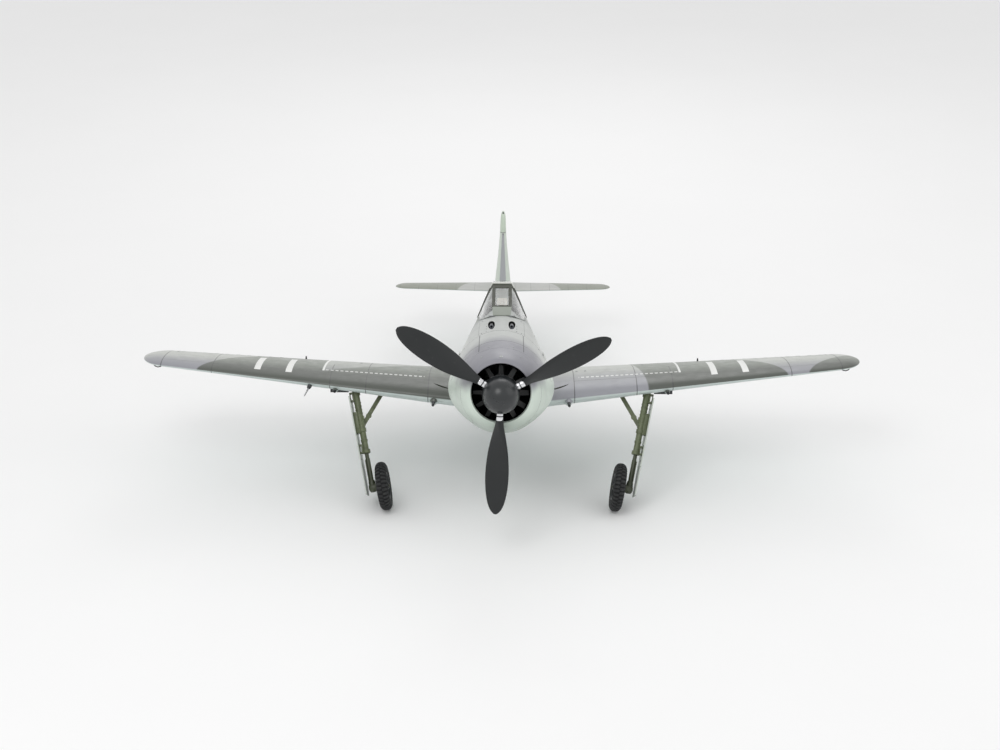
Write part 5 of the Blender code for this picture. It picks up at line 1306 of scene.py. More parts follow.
# ---------------------------------------------------------------- tail surfaces
def build_tail():
    behind = box((-0.30, TAIL_HINGE_Y - 0.0006, 0.0), (0.30, 1.20, 0.12))
    rod_hole = rod((-0.0237, TAIL_HINGE_Y, TAIL_Z), (0.0237, TAIL_HINGE_Y, TAIL_Z), 0.0042)
    # The tailplane's cut faces take the near-black, a painted shade.
    plane = carve(tail_blank(), TAIL, ("DIFFERENCE", behind, BLACK_AND_PAINTED_SHADE), ("DIFFERENCE", rod_hole, BLACK_AND_PAINTED_SHADE))
    piece("tailplane_skin", plane, "airframe", "wing_paint", replaces=("tailplane",), sharp=28.0)
    wedge = prism(Vector((-0.30, TAIL_HINGE_Y, TAIL_Z)), Vector((0.30, TAIL_HINGE_Y, TAIL_Z)),
                  ((0.0, 0.0), (0.0248, 0.04), (0.20, 0.04), (0.20, -0.04), (0.0248, -0.04)))
    middle = box((-0.024, 1.05, 0.0), (0.024, 1.20, 0.12))
    bar = rod((-0.034, TAIL_HINGE_Y + 0.0022, TAIL_Z), (0.034, TAIL_HINGE_Y + 0.0022, TAIL_Z),
              0.0017)
    elevator = carve(tail_blank(), TAIL, ("INTERSECT", wedge, TAIL), ("DIFFERENCE", middle, TAIL),
                     ("UNION", bar, STEEL))
    piece("elevator_skin", elevator, "elevator_body", "wing_paint", replaces=("elevator",),
          sharp=28.0)
    levels = ((-0.0070, 1.172, 0.0042), (0.020, 1.205, 0.0070), (0.060, 1.222, 0.0078),
              (0.110, 1.227, 0.0069), (0.170, 1.216, 0.0057), (0.210, 1.197, 0.0048),
              (0.232, 1.168, 0.0029))
    rings = []
    for z in spread(-0.0070, 0.232, 26):
        trail, half = sampled(levels, z)
        nose = half * 0.9
        side = [(half, RUDDER_HINGE_Y + nose)]
        for share in (0.25, 0.5, 0.75):
            y = RUDDER_HINGE_Y + nose + (trail - RUDDER_HINGE_Y - nose) * share
            side.append((0.0006 + (half - 0.0006) * (1 - share) * (1 + 0.10 * share), y))
        side.append((0.0006, trail))
        ring = [Vector((0.0, RUDDER_HINGE_Y - 0.0005, z))] + [Vector((x, y, z)) for x, y in side]
        rings.append(ring + [Vector((-x, y, z)) for x, y in reversed(side)])
    piece("rudder_skin", loft(rings), "rudder_body", "fuselage_paint", BODY,
          replaces=("rudder",), sharp=28.0)


# ---------------------------------------------------------------- propeller
PROP_PHASE, BLADE_COUNT, PROP_RADIUS = math.radians(62.5), 3, 0.2355
SPINNER_RADIUS, SPINNER_NOSE, FAN_RADIUS = 0.0365, -0.048, 0.0535
BLADE_STATIONS = ((0.0430, 0.0116, 52.0, 0.0112), (0.056, 0.0195, 48.0, 0.0088),
                  (0.080, 0.0340, 42.0, 0.0074), (0.115, 0.0470, 34.0, 0.0062),
                  (0.155, 0.0510, 28.0, 0.0050), (0.190, 0.0455, 24.0, 0.0040),
                  (0.215, 0.0340, 22.0, 0.0032), (0.229, 0.0200, 21.0, 0.0024),
                  (PROP_RADIUS, 0.0060, 21.0, 0.0012))


def blade_mesh():
    """Round root, then a broad blade with washed-out pitch and a round tip."""
    rings = [[Vector((0.0058 * math.cos(math.pi - math.tau * i / 32),
                      0.0058 * math.sin(math.pi - math.tau * i / 32), radius))
              for i in range(32)] for radius in (0.0148, 0.030, 0.0400)]
    radii = spread(0.0430, 0.222, 26) + [0.2255, 0.2285, 0.2310, 0.2330, 0.2345, PROP_RADIUS]
    for radius in radii:
        chord, pitch, thick = sampled(BLADE_STATIONS, radius)
        round_share = max(0.0, 1.0 - (radius - 0.043) / 0.016)
        turn = Matrix.Rotation(math.radians(pitch) * (1.0 - round_share), 3, "Z")
        ring = []
        for i in range(32):
            angle = math.pi - math.tau * i / 32
            s = 0.5 * math.cos(angle)
            camber = 0.10 * (1.0 - (2 * s) ** 2)
            lens = math.sin(angle) * (0.55 - 0.12 * 2 * s) + camber
            circle_y = 0.5 * math.sin(angle)
            h = lens * (1 - round_share) + circle_y * round_share
            ring.append(turn @ Vector((s * chord, h * thick, 0.0)) + Vector((0.0, 0.0, radius)))
        rings.append(ring)
    return loft(rings)


def build_propeller():
    depth, back = -SPINNER_NOSE + 0.004, 0.0090
    dome, hollow_profile = [], []
    for i in range(41):
        share = i / 40
        radius = max(0.0004, SPINNER_RADIUS * (1.0 - (1.0 - share) ** 2.3))
        dome.append((SPINNER_NOSE + depth * share ** 1.7, radius))
        if share > 0.2:
            inside = radius - 0.0014 - 0.0010 * (1.0 - share)
            hollow_profile.append((SPINNER_NOSE + depth * share ** 1.7 + 0.0016, inside))
    dome += [(0.0043, SPINNER_RADIUS - 0.0005), (0.0049, SPINNER_RADIUS - 0.0005),
             (0.0052, SPINNER_RADIUS), (back, SPINNER_RADIUS)]
    hollow_profile.append((back + 0.01, SPINNER_RADIUS - 0.0014))
    shell = turned(dome, (0, 0, 0), Y_AXIS, 96)
    collars, bands = [], []
    # The spinner's inside and the blade sockets take the near-black, a painted shade.
    cuts = [("DIFFERENCE", turned(hollow_profile, (0, 0, 0), Y_AXIS, 96), BLACK_AND_PAINTED_SHADE)]
    for i in range(BLADE_COUNT):
        turn = Matrix.Rotation(PROP_PHASE + math.tau * i / BLADE_COUNT, 4, "Y")
        cuts.append(("DIFFERENCE", placed(rod((0, 0, 0.020), (0, 0, 0.05), 0.0072, count=40), turn),
                     BLACK_AND_PAINTED_SHADE))
        piece("blade_skin_%d" % (i + 1), placed(blade_mesh(), turn), "propeller", "blade_black",
              BLADE, replaces=("prop_blade_%d" % (i + 1),), sharp=60.0)
        collars.append(placed(turned(((0.0, 0.0059), (0.0, 0.0066), (0.0022, 0.0069),
                                      (0.0068, 0.0069), (0.0070, 0.0064), (0.0092, 0.0064),
                                      (0.0094, 0.0069), (0.0160, 0.0069), (0.0166, 0.0066),
                                      (0.0170, 0.0059)), (0, 0, 0.0335), (0, 0, 1), 40,
                                     closed=True), turn))
        bands.append(placed(turned(((0.0072, 0.0063), (0.0072, 0.00655), (0.0090, 0.00655),
                                    (0.0090, 0.0063)), (0, 0, 0.0335), (0, 0, 1), 40,
                                   closed=True), turn))
    piece("spinner_shell", carve(shell, SPINNER, *cuts), "propeller", "spinner_black",
          replaces=("spinner",), sharp=40.0)
    piece("blade_collars", merged(*collars), "propeller", "bright_metal", CHROME)
    piece("collar_bands", merged(*bands), "propeller", "gun_metal", GUN)
    hub = turned(((-0.014, 0.0145), (-0.012, 0.0150), (0.0093, 0.0150), (0.0093, SPINNER_RADIUS),
                  (0.0125, SPINNER_RADIUS), (0.0125, 0.003), (-0.014, 0.003)),
                 (0, 0, 0), Y_AXIS, 72, closed=True)
    piece("hub_and_plate", hub, "propeller", "light_alloy", ALLOY, replaces=("prop_hub",))

    fan = [turned(((0.0150, 0.0300), (0.0270, 0.0330), (0.0270, 0.0040), (0.0150, 0.0040)),
                  (0, 0, 0), Y_AXIS, 64, closed=True)]
    for i in range(12):
        rows, backs = [], []
        for radius in spread(0.0300, FAN_RADIUS, 8):
            share = (radius - 0.030) / (FAN_RADIUS - 0.030)
            tilt = Matrix.Rotation(math.radians(56 - 14 * share), 3, "Z")
            front, back = [], []
            for s in spread(-0.0060, 0.0060, 7):
                bow = 0.0009 * (1 - (s / 0.006) ** 2)
                thick = 0.0007 * math.sqrt(max(0.05, 1 - (s / 0.0062) ** 2))
                front.append(tilt @ Vector((bow + thick, s, 0.0)) + Vector((0, 0.0205, radius)))
                back.append(tilt @ Vector((bow - thick, s, 0.0)) + Vector((0, 0.0205, radius)))
            rows.append(front)
            backs.append(back)
        fan.append(placed(shell_loft(rows, backs), Matrix.Rotation(math.tau * i / 12, 4, "Y")))
    piece("fan_wheel", merged(*fan), "propeller", "blade_black", FAN, replaces=("cooling_fan",))


# ---------------------------------------------------------------- gear pieces
def block_ring(x0, x1, y0, y1, half, wall):
    """A rectangular bracket with an open window through it, in the leg's frame."""
    outer = ((x0, y0), (x1, y0), (x1, y1), (x0, y1))
    inner = ((x0 + wall, y0 + wall), (x1 - wall, y0 + wall), (x1 - wall, y1 - wall * 0.5),
             (x0 + wall, y1 - wall * 0.5))
    sides = [[Vector((x, y, z)) for x, y in corners] for corners in (outer, inner)
             for z in (-half, half)]
    return loft([sides[0], sides[1], sides[3], sides[2]], loft_closed=True)


def build_leg(side):
    name, length = side_name(side), GEAR["length"]
    body, frame_matrix = "gear_" + name, gear_matrix(False)
    end = length * LEG_SHARE
    bore = 0.0043
    profile = [(end - 0.052, bore), (-0.008, 0.0020), (-0.008, 0.0052), (-0.0065, 0.0066),
               (0.0085, 0.0070), (0.0100, 0.0067), (0.0300, 0.0067)]
    for i in range(7):
        x = 0.032 + 0.0075 * i
        profile += [(x, 0.0067), (x + 0.0006, 0.0073), (x + 0.0024, 0.0073), (x + 0.0030, 0.0067)]
    profile += [(0.0865, 0.0067), (0.0872, 0.0080), (0.0950, 0.0080), (0.0957, 0.0063),
                (end - 0.030, 0.0062), (end - 0.029, 0.0071), (end - 0.025, 0.0071),
                (end - 0.024, 0.0062), (end - 0.0085, 0.0063), (end - 0.0080, 0.0082),
                (end - 0.0070, 0.0086), (end - 0.0010, 0.0086), (end, 0.0078), (end, bore)]
    parts = [placed(turned(profile, (0, 0, 0), X_AXIS, 40, closed=True), frame_matrix)]
    axis = GEAR["axis"]
    parts.append(rod(LEG_PIVOT - axis * 0.016, LEG_PIVOT + axis * 0.016, 0.0054, count=28,
                     chamfer=0.0006))
    for offset in (-0.0115, 0.0085):
        start = LEG_PIVOT + axis * offset
        parts.append(rod(start, start + axis * 0.003, 0.0074, count=28, chamfer=0.0005))
    foot = BRACE["foot"] + axis * BRACE["shift"]
    parts.append(rod(foot, foot + axis * 0.0078, 0.0046, count=24, chamfer=0.0004))
    for x in (0.014, 0.066):
        lug = box((x - 0.004, -0.0085, -0.003), (x + 0.004, -0.0045, 0.003), 0.0008)
        parts.append(placed(lug, frame_matrix))
    for x, depth in ((0.014, 0.0098), (end - 0.017, 0.0086)):
        for turn in (0.5, 2.6, 4.2):
            y, z = math.cos(turn), math.sin(turn)
            bolt = rod((x, y * 0.004, z * 0.004), (x, y * depth * 0.82, z * depth * 0.82), 0.0011,
                       count=8, chamfer=0.0002)
            parts.append(placed(bolt, frame_matrix))
    for x0, x1 in ((0.07, 0.21), (0.86, 0.99)):
        window = block_ring(x0 * end, x1 * end, 0.0050, DOOR_OFFSET - GAP, 0.0055, 0.0030)
        parts.append(placed(window, frame_matrix))
    low, high = Vector((0.37 * end, 0.0040, -0.0062)), Vector((0.69 * end, 0.0128, 0.0062))
    parts.append(placed(box(low, high, 0.0010), frame_matrix))
    for share in (0.40, 0.47, 0.54, 0.61, 0.655):
        rib = box((share * end, 0.0052, -0.0068), (share * end + 0.0016, 0.0122, 0.0068), 0.0004)
        parts.append(placed(rib, frame_matrix))
    piece("leg_casting_" + name, mirrored(merged(*parts), side), body, "gear_paint", OLIVE,
          replaces=("gear_leg_" + name,), sharp=38.0)
    build_door(side, name, body, frame_matrix, length)
    build_lower_leg(side, name, frame_matrix, length)


def build_door(side, name, body, frame_matrix, length):
    def plate(first, last, half_first, half_last, extra=0.0):
        rows = []
        for x in spread(first, last, 14):
            share = (x - first) / (last - first)
            half = half_first + (half_last - half_first) * share
            rows.append([Vector((x, DOOR_OFFSET + 0.0018 - 0.0016 * (z / DOOR_HALF) ** 2 - extra,
                                 z)) for z in spread(-half, half, 13)])
        return rows

    split = 0.166
    panels = []
    for first, last, near, far in ((0.020, split - 0.0006, 0.0225, 0.0255),
                                   (split + 0.0006, length + 0.012, 0.0255, 0.0205)):
        outer, inner = plate(first, last, near, far), plate(first, last, near, far, 0.0024)
        panels.append(placed(shell_loft(outer, inner), frame_matrix))
    # The door's inner rails and ribs take the darker olive, a painted shade on its inside.
    for first, last, z0 in ((0.026, split - 0.006, 0.0165), (0.026, split - 0.006, -0.0180),
                            (split + 0.005, length + 0.004, 0.0150),
                            (split + 0.005, length + 0.004, -0.0165)):
        rail = box((first, DOOR_OFFSET - 0.0012, z0), (last, DOOR_OFFSET + 0.0006, z0 + 0.0015),
                   0.0003)
        panels.append(painted(placed(rail, frame_matrix), 1))
    for x in (0.040, 0.075, 0.118, 0.150):
        rib = box((x - 0.0008, DOOR_OFFSET - 0.0010, -0.0170), (x + 0.0008, DOOR_OFFSET + 0.0008,
                                                                0.0170), 0.0003)
        panels.append(painted(placed(rib, frame_matrix), 1))
    piece("leg_door_" + name, mirrored(merged(*panels), side), body, "door_paint", DOOR,
          OLIVE_PAINTED_SHADE, replaces=("gear_door_" + name,), sharp=38.0)


def build_lower_leg(side, name, frame_matrix, length):
    down, outward = GEAR["down"], GEAR["axle_down"]
    end = length * LEG_SHARE
    parts = [placed(turned(((end - 0.038, 0.0010), (end - 0.038, 0.0040), (end + 0.0110, 0.0040),
                            (end + 0.0112, 0.0047), (length - 0.0170, 0.0047),
                            (length - 0.0150, 0.0060), (length - 0.012, 0.0068),
                            (length + 0.006, 0.0068), (length + 0.009, 0.0052)),
                           (0, 0, 0), X_AXIS, 36), frame_matrix)]
    parts.append(turned(((-0.0100, 0.0030), (-0.0098, 0.0076), (-0.0085, 0.0082), (0.0050, 0.0082),
                         (0.0062, 0.0074), (0.0066, 0.0050), (0.0078, 0.0046), (0.0082, 0.0020)),
                        AXLE_DOWN, outward, 36))
    for i in range(6):
        angle = math.tau * i / 6
        spoke = (down * math.cos(angle) + down.cross(outward) * math.sin(angle)) * 0.0062
        start = AXLE_DOWN + spoke + outward * 0.0055
        parts.append(rod(start, start + outward * 0.0018, 0.0010, count=6))
    parts.append(rod(AXLE_DOWN, AXLE_DOWN - outward * (AXLE_OFFSET + 0.0125), 0.0024, count=20,
                     chamfer=0.0004))
    link = box((end + 0.014, 0.0038, 0.0010), (length - 0.012, 0.0056, 0.0058), 0.0005)
    parts.append(placed(link, frame_matrix))
    # The axle strut takes the darker olive, a painted shade.
    piece("axle_strut_" + name, mirrored(merged(*parts), side), "oleo_" + name, "gear_paint",
          OLIVE_PAINTED_SHADE, replaces=("gear_piston_" + name,), sharp=38.0)


def tyre_profile(radius, crown, rim, width):
    count, points = 20, []
    for i in range(count + 1):
        angle = math.pi * i / count
        along = -crown * math.cos(angle)
        points.append((along, radius - crown + crown * math.sin(angle) ** 0.82))
    points += [(width / 2 + 0.0006, radius - crown - 0.004), (width / 2, rim + 0.0012),
               (width / 2 - 0.0012, rim)]
    return points + [(-width / 2 + 0.0012, rim), (-width / 2, rim + 0.0012),
                     (-width / 2 - 0.0006, radius - crown - 0.004)]


def build_wheel(name, body, centre, outward, side, radius, crown, rim, bore, nodes, lugs):
    """Tyre with moulded tread blocks, and a dished hub with bolts."""
    centre, outward = Vector(centre), Vector(outward).normalized()
    width = crown * 1.7
    base = radius - 0.0019
    tyre = [turned(tyre_profile(base, crown - 0.0004, rim, width), centre, outward, 96,
                   closed=True)]
    up = outward.orthogonal().normalized()
    fore = outward.cross(up)
    half_step = math.pi / lugs * 0.60
    for row, (near, far) in enumerate(((-0.94, -0.05), (0.05, 0.94))):
        for i in range(lugs):
            middle = math.tau * (i + 0.5 * (row % 2)) / lugs
            rings = []
            for a in spread(near, far, 5):
                lift = base - crown + crown * max(0.0, 1.0 - abs(a) ** 2.3) ** 0.5
                ring = []
                for turn, height in ((-1, -0.0014), (1, -0.0014), (0.84, 0.0019), (-0.84, 0.0019)):
                    angle = middle + turn * half_step
                    spoke = up * math.cos(angle) + fore * math.sin(angle)
                    high = min(lift + height, radius - 0.00005)
                    ring.append(centre + outward * (a * crown) + spoke * high)
                rings.append(ring)
            # The tread blocks take the lighter rubber, a painted highlight on their tops.
            tyre.append(painted(loft(rings), 1))
    piece(name + "_tread", mirrored(merged(*tyre), side), body, "tyre_rubber", RUBBER_PAINTED_SHADE,
          TREAD_PAINTED_HIGHLIGHT, replaces=(nodes[0],), sharp=30.0)
    outer, half = rim - GAP, width / 2
    profile = ((-half, outer), (-half + 0.0004, outer * 0.95), (-half + 0.0014, outer * 0.90),
               (-half * 0.50, outer * 0.84), (-half * 0.40, outer * 0.60),
               (-half * 0.55, bore * 3.4), (-half * 0.8, bore * 2.6), (-half, bore * 2.2),
               (-half, bore), (half, bore), (half, bore * 2.2), (half * 0.8, bore * 2.6),
               (half * 0.55, bore * 3.4), (half * 0.40, outer * 0.60), (half * 0.50, outer * 0.84),
               (half - 0.0014, outer * 0.90), (half - 0.0004, outer * 0.95), (half, outer))
    hub = [turned(profile, centre, outward, 64, closed=True)]
    for i in range(8):
        spoke = up * math.cos(math.tau * i / 8) + fore * math.sin(math.tau * i / 8)
        for face in (-1, 1):
            start = centre + spoke * outer * 0.52 + outward * face * half * 0.36
            hub.append(rod(start, start + outward * face * 0.0022, outer * 0.055, count=6))
    piece(name + "_rim", mirrored(merged(*hub), side), body, "light_alloy", RIM,
          replaces=(nodes[1],), sharp=36.0)


def link_bar(start, end, axis, near, far, half):
    """A flat link with round ends, between two distances along the axis."""
    along = (end - start).normalized()
    across = axis.cross(along)
    outline = []
    for centre, heading in ((end, 1.0), (start, -1.0)):
        for i in range(15):
            angle = math.pi * (i / 14 - 0.5)
            spoke = heading * (along * math.cos(angle) + across * math.sin(angle))
            outline.append(centre + spoke * half)
    rings = []
    for offset, shrink in ((near, 0.88), (near + 0.0004, 1.0), (far - 0.0004, 1.0), (far, 0.88)):
        middle = (start + end) / 2
        ring = []
        for point in outline:
            lateral = across * (point - middle).dot(across)
            ring.append(point - lateral * (1 - shrink) + axis * offset)
        rings.append(ring)
    return loft(rings)


def build_braces(side):
    axis, name = GEAR["axis"], side_name(side)
    shift = axis * BRACE["shift"]
    head, foot, knuckle = BRACE["head"] + shift, BRACE["foot"] + shift, BRACE["knuckle"] + shift
    reach = (foot - head).normalized()
    upper = [link_bar(head, knuckle, axis, 0.0122, 0.0157, 0.0042)]
    lower = [link_bar(foot, knuckle + reach * 0.0006, axis, 0.0082, 0.0117, 0.0042)]
    for centre, group, near, far, radius in (
            (head, upper, 0.0121, 0.0160, 0.0044), (knuckle, upper, 0.0121, 0.0164, 0.0045),
            (knuckle + reach * 0.0006, lower, 0.0076, 0.0118, 0.0056),
            (knuckle + reach * 0.024, lower, 0.0079, 0.0118, 0.0052),
            (foot, lower, 0.0080, 0.0118, 0.0054)):
        group.append(rod(centre + axis * near, centre + axis * far, radius, count=24,
                         chamfer=0.0004))
    slot_start, slot_end = head + reach * 0.010, knuckle - reach * 0.012
    upper.append(link_bar(slot_start, slot_end, axis, 0.0156, 0.0160, 0.0016))
    piece("brace_top_link_" + name, mirrored(merged(*upper), side),
          "brace_upper_%s_body" % name, "gear_paint", OLIVE, replaces=("brace_upper_" + name,))
    piece("brace_foot_link_" + name, mirrored(merged(*lower), side),
          "brace_lower_%s_body" % name, "gear_paint", OLIVE, replaces=("brace_lower_" + name,))


def build_main_gear(side):
    name = side_name(side)
    build_leg(side)
    centre = AXLE_DOWN - GEAR["axle_down"] * AXLE_OFFSET
    build_wheel("main_wheel_" + name, "wheel_" + name, centre, GEAR["axle_down"], side,
                WHEEL_RADIUS, TYRE_CROWN, 0.0275, 0.0024 + GAP,
                ("main_tyre_" + name, "main_hub_" + name), 36)
    build_braces(side)


def build_tail_gear():
    tail_radius, axle_y, steer_y = 0.027, 1.098, 1.078
    low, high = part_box("tail_tyre")
    axle_z = (LEVEL.inverted() @ ((low + high) / 2)).z
    crown_z = axle_z + tail_radius + 0.0020
    parts = [turned(((0.0, 0.0030), (0.0008, 0.0038), (0.030 - crown_z - 0.012, 0.0038),
                     (0.030 - crown_z - 0.0115, 0.0052), (0.030 - crown_z - 0.003, 0.0056)),
                    (0.0, steer_y, 0.0300), (0, 0, -1), 28)]
    parts.append(box((-0.0140, steer_y - 0.006, crown_z), (0.0140, axle_y - 0.001, crown_z + 0.006),
                     0.0012))
    for side in (-1, 1):
        outline = []
        for i in range(9):
            angle = math.pi * (i / 8) + math.pi
            outline.append((axle_y + 0.0056 * math.cos(angle), axle_z + 0.0056 * math.sin(angle)))
        outline += [(axle_y + 0.0050, axle_z + 0.006), (axle_y - 0.004, crown_z + 0.004),
                    (steer_y - 0.003, crown_z + 0.003), (steer_y - 0.001, crown_z - 0.002)]
        near, far = sorted((side * 0.0112, side * 0.0138))
        parts.append(loft([[Vector((x, y, z)) for y, z in outline] for x in (near, far)]))
    parts.append(rod((-0.0148, axle_y, axle_z), (0.0148, axle_y, axle_z), 0.0016, count=16,
                     chamfer=0.0003))
    piece("tail_wheel_fork", merged(*parts), "tail_gear", "gear_paint", OLIVE,
          replaces=("tail_fork",), sharp=36.0)
    build_wheel("tail_wheel", "tail_wheel", (0.0, axle_y, axle_z), (1.0, 0.0, 0.0), 1,
                tail_radius, 0.0095, 0.0120, 0.0016 + GAP, ("tail_tyre", "tail_hub"), 24)


# ---------------------------------------------------------------- cockpit
SCREEN_ROWS = ((0.3745, 0.0300, 0.0906, 0.0180, 0.0951), (0.402, 0.0450, 0.0802, 0.0195, 0.1077),
               (0.440, 0.0505, 0.0750, 0.0198, 0.1225), (0.4805, 0.0525, 0.0720, 0.0195, 0.1415),
               (0.4867, 0.0525, 0.0718, 0.0195, 0.1450))
CANOPY_ROWS = ((0.4870, 0.0525, 0.0718, 0.0195, 0.1450), (0.520, 0.0520, 0.0715, 0.0185, 0.1462),
               (0.560, 0.0500, 0.0715, 0.0170, 0.1400), (0.600, 0.0470, 0.0720, 0.0150, 0.1270),
               (0.640, 0.0420, 0.0735, 0.0110, 0.1080), (0.668, 0.0370, 0.0760, 0.0070, 0.0935))


def hood_point(rows, y, u, inset):
    """A point of a hood at y; u runs from 0 at its right sill over the top (4 to 5) to 9."""
    low_half, low_z, top_half, top_z = sampled(rows, y)
    shares = ((1.0, 0.0), (0.77, 0.25), (0.52, 0.52), (0.265, 0.78), (0.0, 1.0))
    points = []
    for lean, height in shares:
        x = top_half + (low_half - top_half) * lean - inset * 0.9
        points.append((x, low_z + (top_z - low_z - inset) * height))
    points += [(-x, z) for x, z in reversed(points)]
    i = min(int(u), len(points) - 2)
    t = u - i
    (x0, z0), (x1, z1) = points[i], points[i + 1]
    return Vector((x0 + (x1 - x0) * t, y, z0 + (z1 - z0) * t))


def hood_patch(rows, y0, y1, u0, u1, outer=0.0, inner=0.0012):
    """A closed plate of a hood between two stations and two places round it."""
    ys = spread(y0, y1, max(2, round((y1 - y0) / 0.006) + 1))
    us = sorted({u0, u1} | {float(k) for k in range(10) if u0 < k < u1}
                | {k + 0.5 for k in range(9) if u0 < k + 0.5 < u1})
    return shell_loft([[hood_point(rows, y, u, outer) for u in us] for y in ys],
                      [[hood_point(rows, y, u, inner) for u in us] for y in ys])


def build_screens():
    first, last = SCREEN_ROWS[0][0], SCREEN_ROWS[-1][0]
    glass = [hood_patch(SCREEN_ROWS, 0.405, 0.4800, 4.10, 4.90, 0.0003, 0.0013),
             hood_patch(SCREEN_ROWS, 0.392, 0.4800, 0.25, 3.90, 0.0003, 0.0013),
             hood_patch(SCREEN_ROWS, 0.392, 0.4800, 5.10, 8.75, 0.0003, 0.0013)]
    piece("screen_glass", merged(*glass), "airframe", "clear_glazing", GLASS,
          replaces=("windscreen",), sharp=20.0)
    frames = [hood_patch(SCREEN_ROWS, 0.4040, 0.4810, 3.90, 4.13, -0.0005, 0.0016),
              hood_patch(SCREEN_ROWS, 0.4040, 0.4810, 4.87, 5.10, -0.0005, 0.0016),
              hood_patch(SCREEN_ROWS, 0.4040, 0.4085, 4.10, 4.90, -0.0004, 0.0016),
              hood_patch(SCREEN_ROWS, 0.4735, 0.4810, 4.10, 4.90, -0.0006, 0.0016),
              hood_patch(SCREEN_ROWS, 0.4815, last, 0.0, 9.0, -0.0004, 0.0016)]
    piece("screen_frame", merged(*frames), "airframe", "fuselage_paint", FRAME_GREEN, sharp=28.0)
    skirts = [hood_patch(SCREEN_ROWS, first, 0.4035, 3.85, 5.15, 0.0, 0.0016)]
    piece("screen_apron", merged(*skirts), "airframe", "fuselage_paint", PANEL_GREEN, sharp=28.0)
    sides = [hood_patch(SCREEN_ROWS, 0.392, 0.4815, 0.0, 0.25, -0.0003, 0.0016),
             hood_patch(SCREEN_ROWS, 0.392, 0.4815, 8.75, 9.0, -0.0003, 0.0016),
             hood_patch(SCREEN_ROWS, first, 0.3915, 0.0, 3.84, 0.0, 0.0016),
             hood_patch(SCREEN_ROWS, first, 0.3915, 5.16, 9.0, 0.0, 0.0016)]
    piece("screen_sills", merged(*sides), "airframe", "fuselage_paint", BODY, sharp=28.0)
    knobs = [rod((x, 0.383, 0.0920), (x, 0.3795, 0.0965), 0.0021, 0.0017, chamfer=0.0004)
             for x in (-0.0175, 0.0175)]
    piece("screen_knobs", merged(*knobs), "airframe", "gun_metal", GUN)

    start, end, hood_end = CANOPY_ROWS[0][0], CANOPY_ROWS[-1][0], 0.624
    panes = [hood_patch(CANOPY_ROWS, start + 0.006, hood_end, 0.25, 8.75, 0.0003, 0.0013)]
    piece("canopy_glass", merged(*panes), "canopy_body", "clear_glazing", GLASS,
          replaces=("canopy",), sharp=20.0)
    bow = hood_patch(CANOPY_ROWS, start, start + 0.0058, 3.4, 5.6, -0.0022, 0.0016)
    piece("canopy_bow", bow, "canopy_body", "fuselage_paint", RIM_WHITE, sharp=28.0)
    bow = [hood_patch(CANOPY_ROWS, start, start + 0.0058, u0, u1, -0.0012, 0.0016)
           for u0, u1 in ((0.0, 3.39), (5.61, 9.0))]
    piece("canopy_bow_sides", merged(*bow), "canopy_body", "fuselage_paint", FRAME_GREEN,
          sharp=28.0)
    rails = [hood_patch(CANOPY_ROWS, start + 0.006, hood_end, 0.0, 0.24, -0.0004, 0.0016),
             hood_patch(CANOPY_ROWS, start + 0.006, hood_end, 8.76, 9.0, -0.0004, 0.0016),
             hood_patch(CANOPY_ROWS, hood_end + 0.0002, end, 0.0, 9.0, 0.0, 0.0016),
             hood_patch(CANOPY_ROWS, 0.545, hood_end, 4.35, 4.65, -0.0004, 0.0002)]
    piece("canopy_rails", merged(*rails), "canopy_body", "fuselage_paint", BODY, sharp=28.0)
    wire = rod((0.0, 0.664, 0.0962), (0.0, 0.667, 0.0945), 0.0012, chamfer=0.0003)
    piece("canopy_pulley", wire, "canopy_body", "gun_metal", GUN)


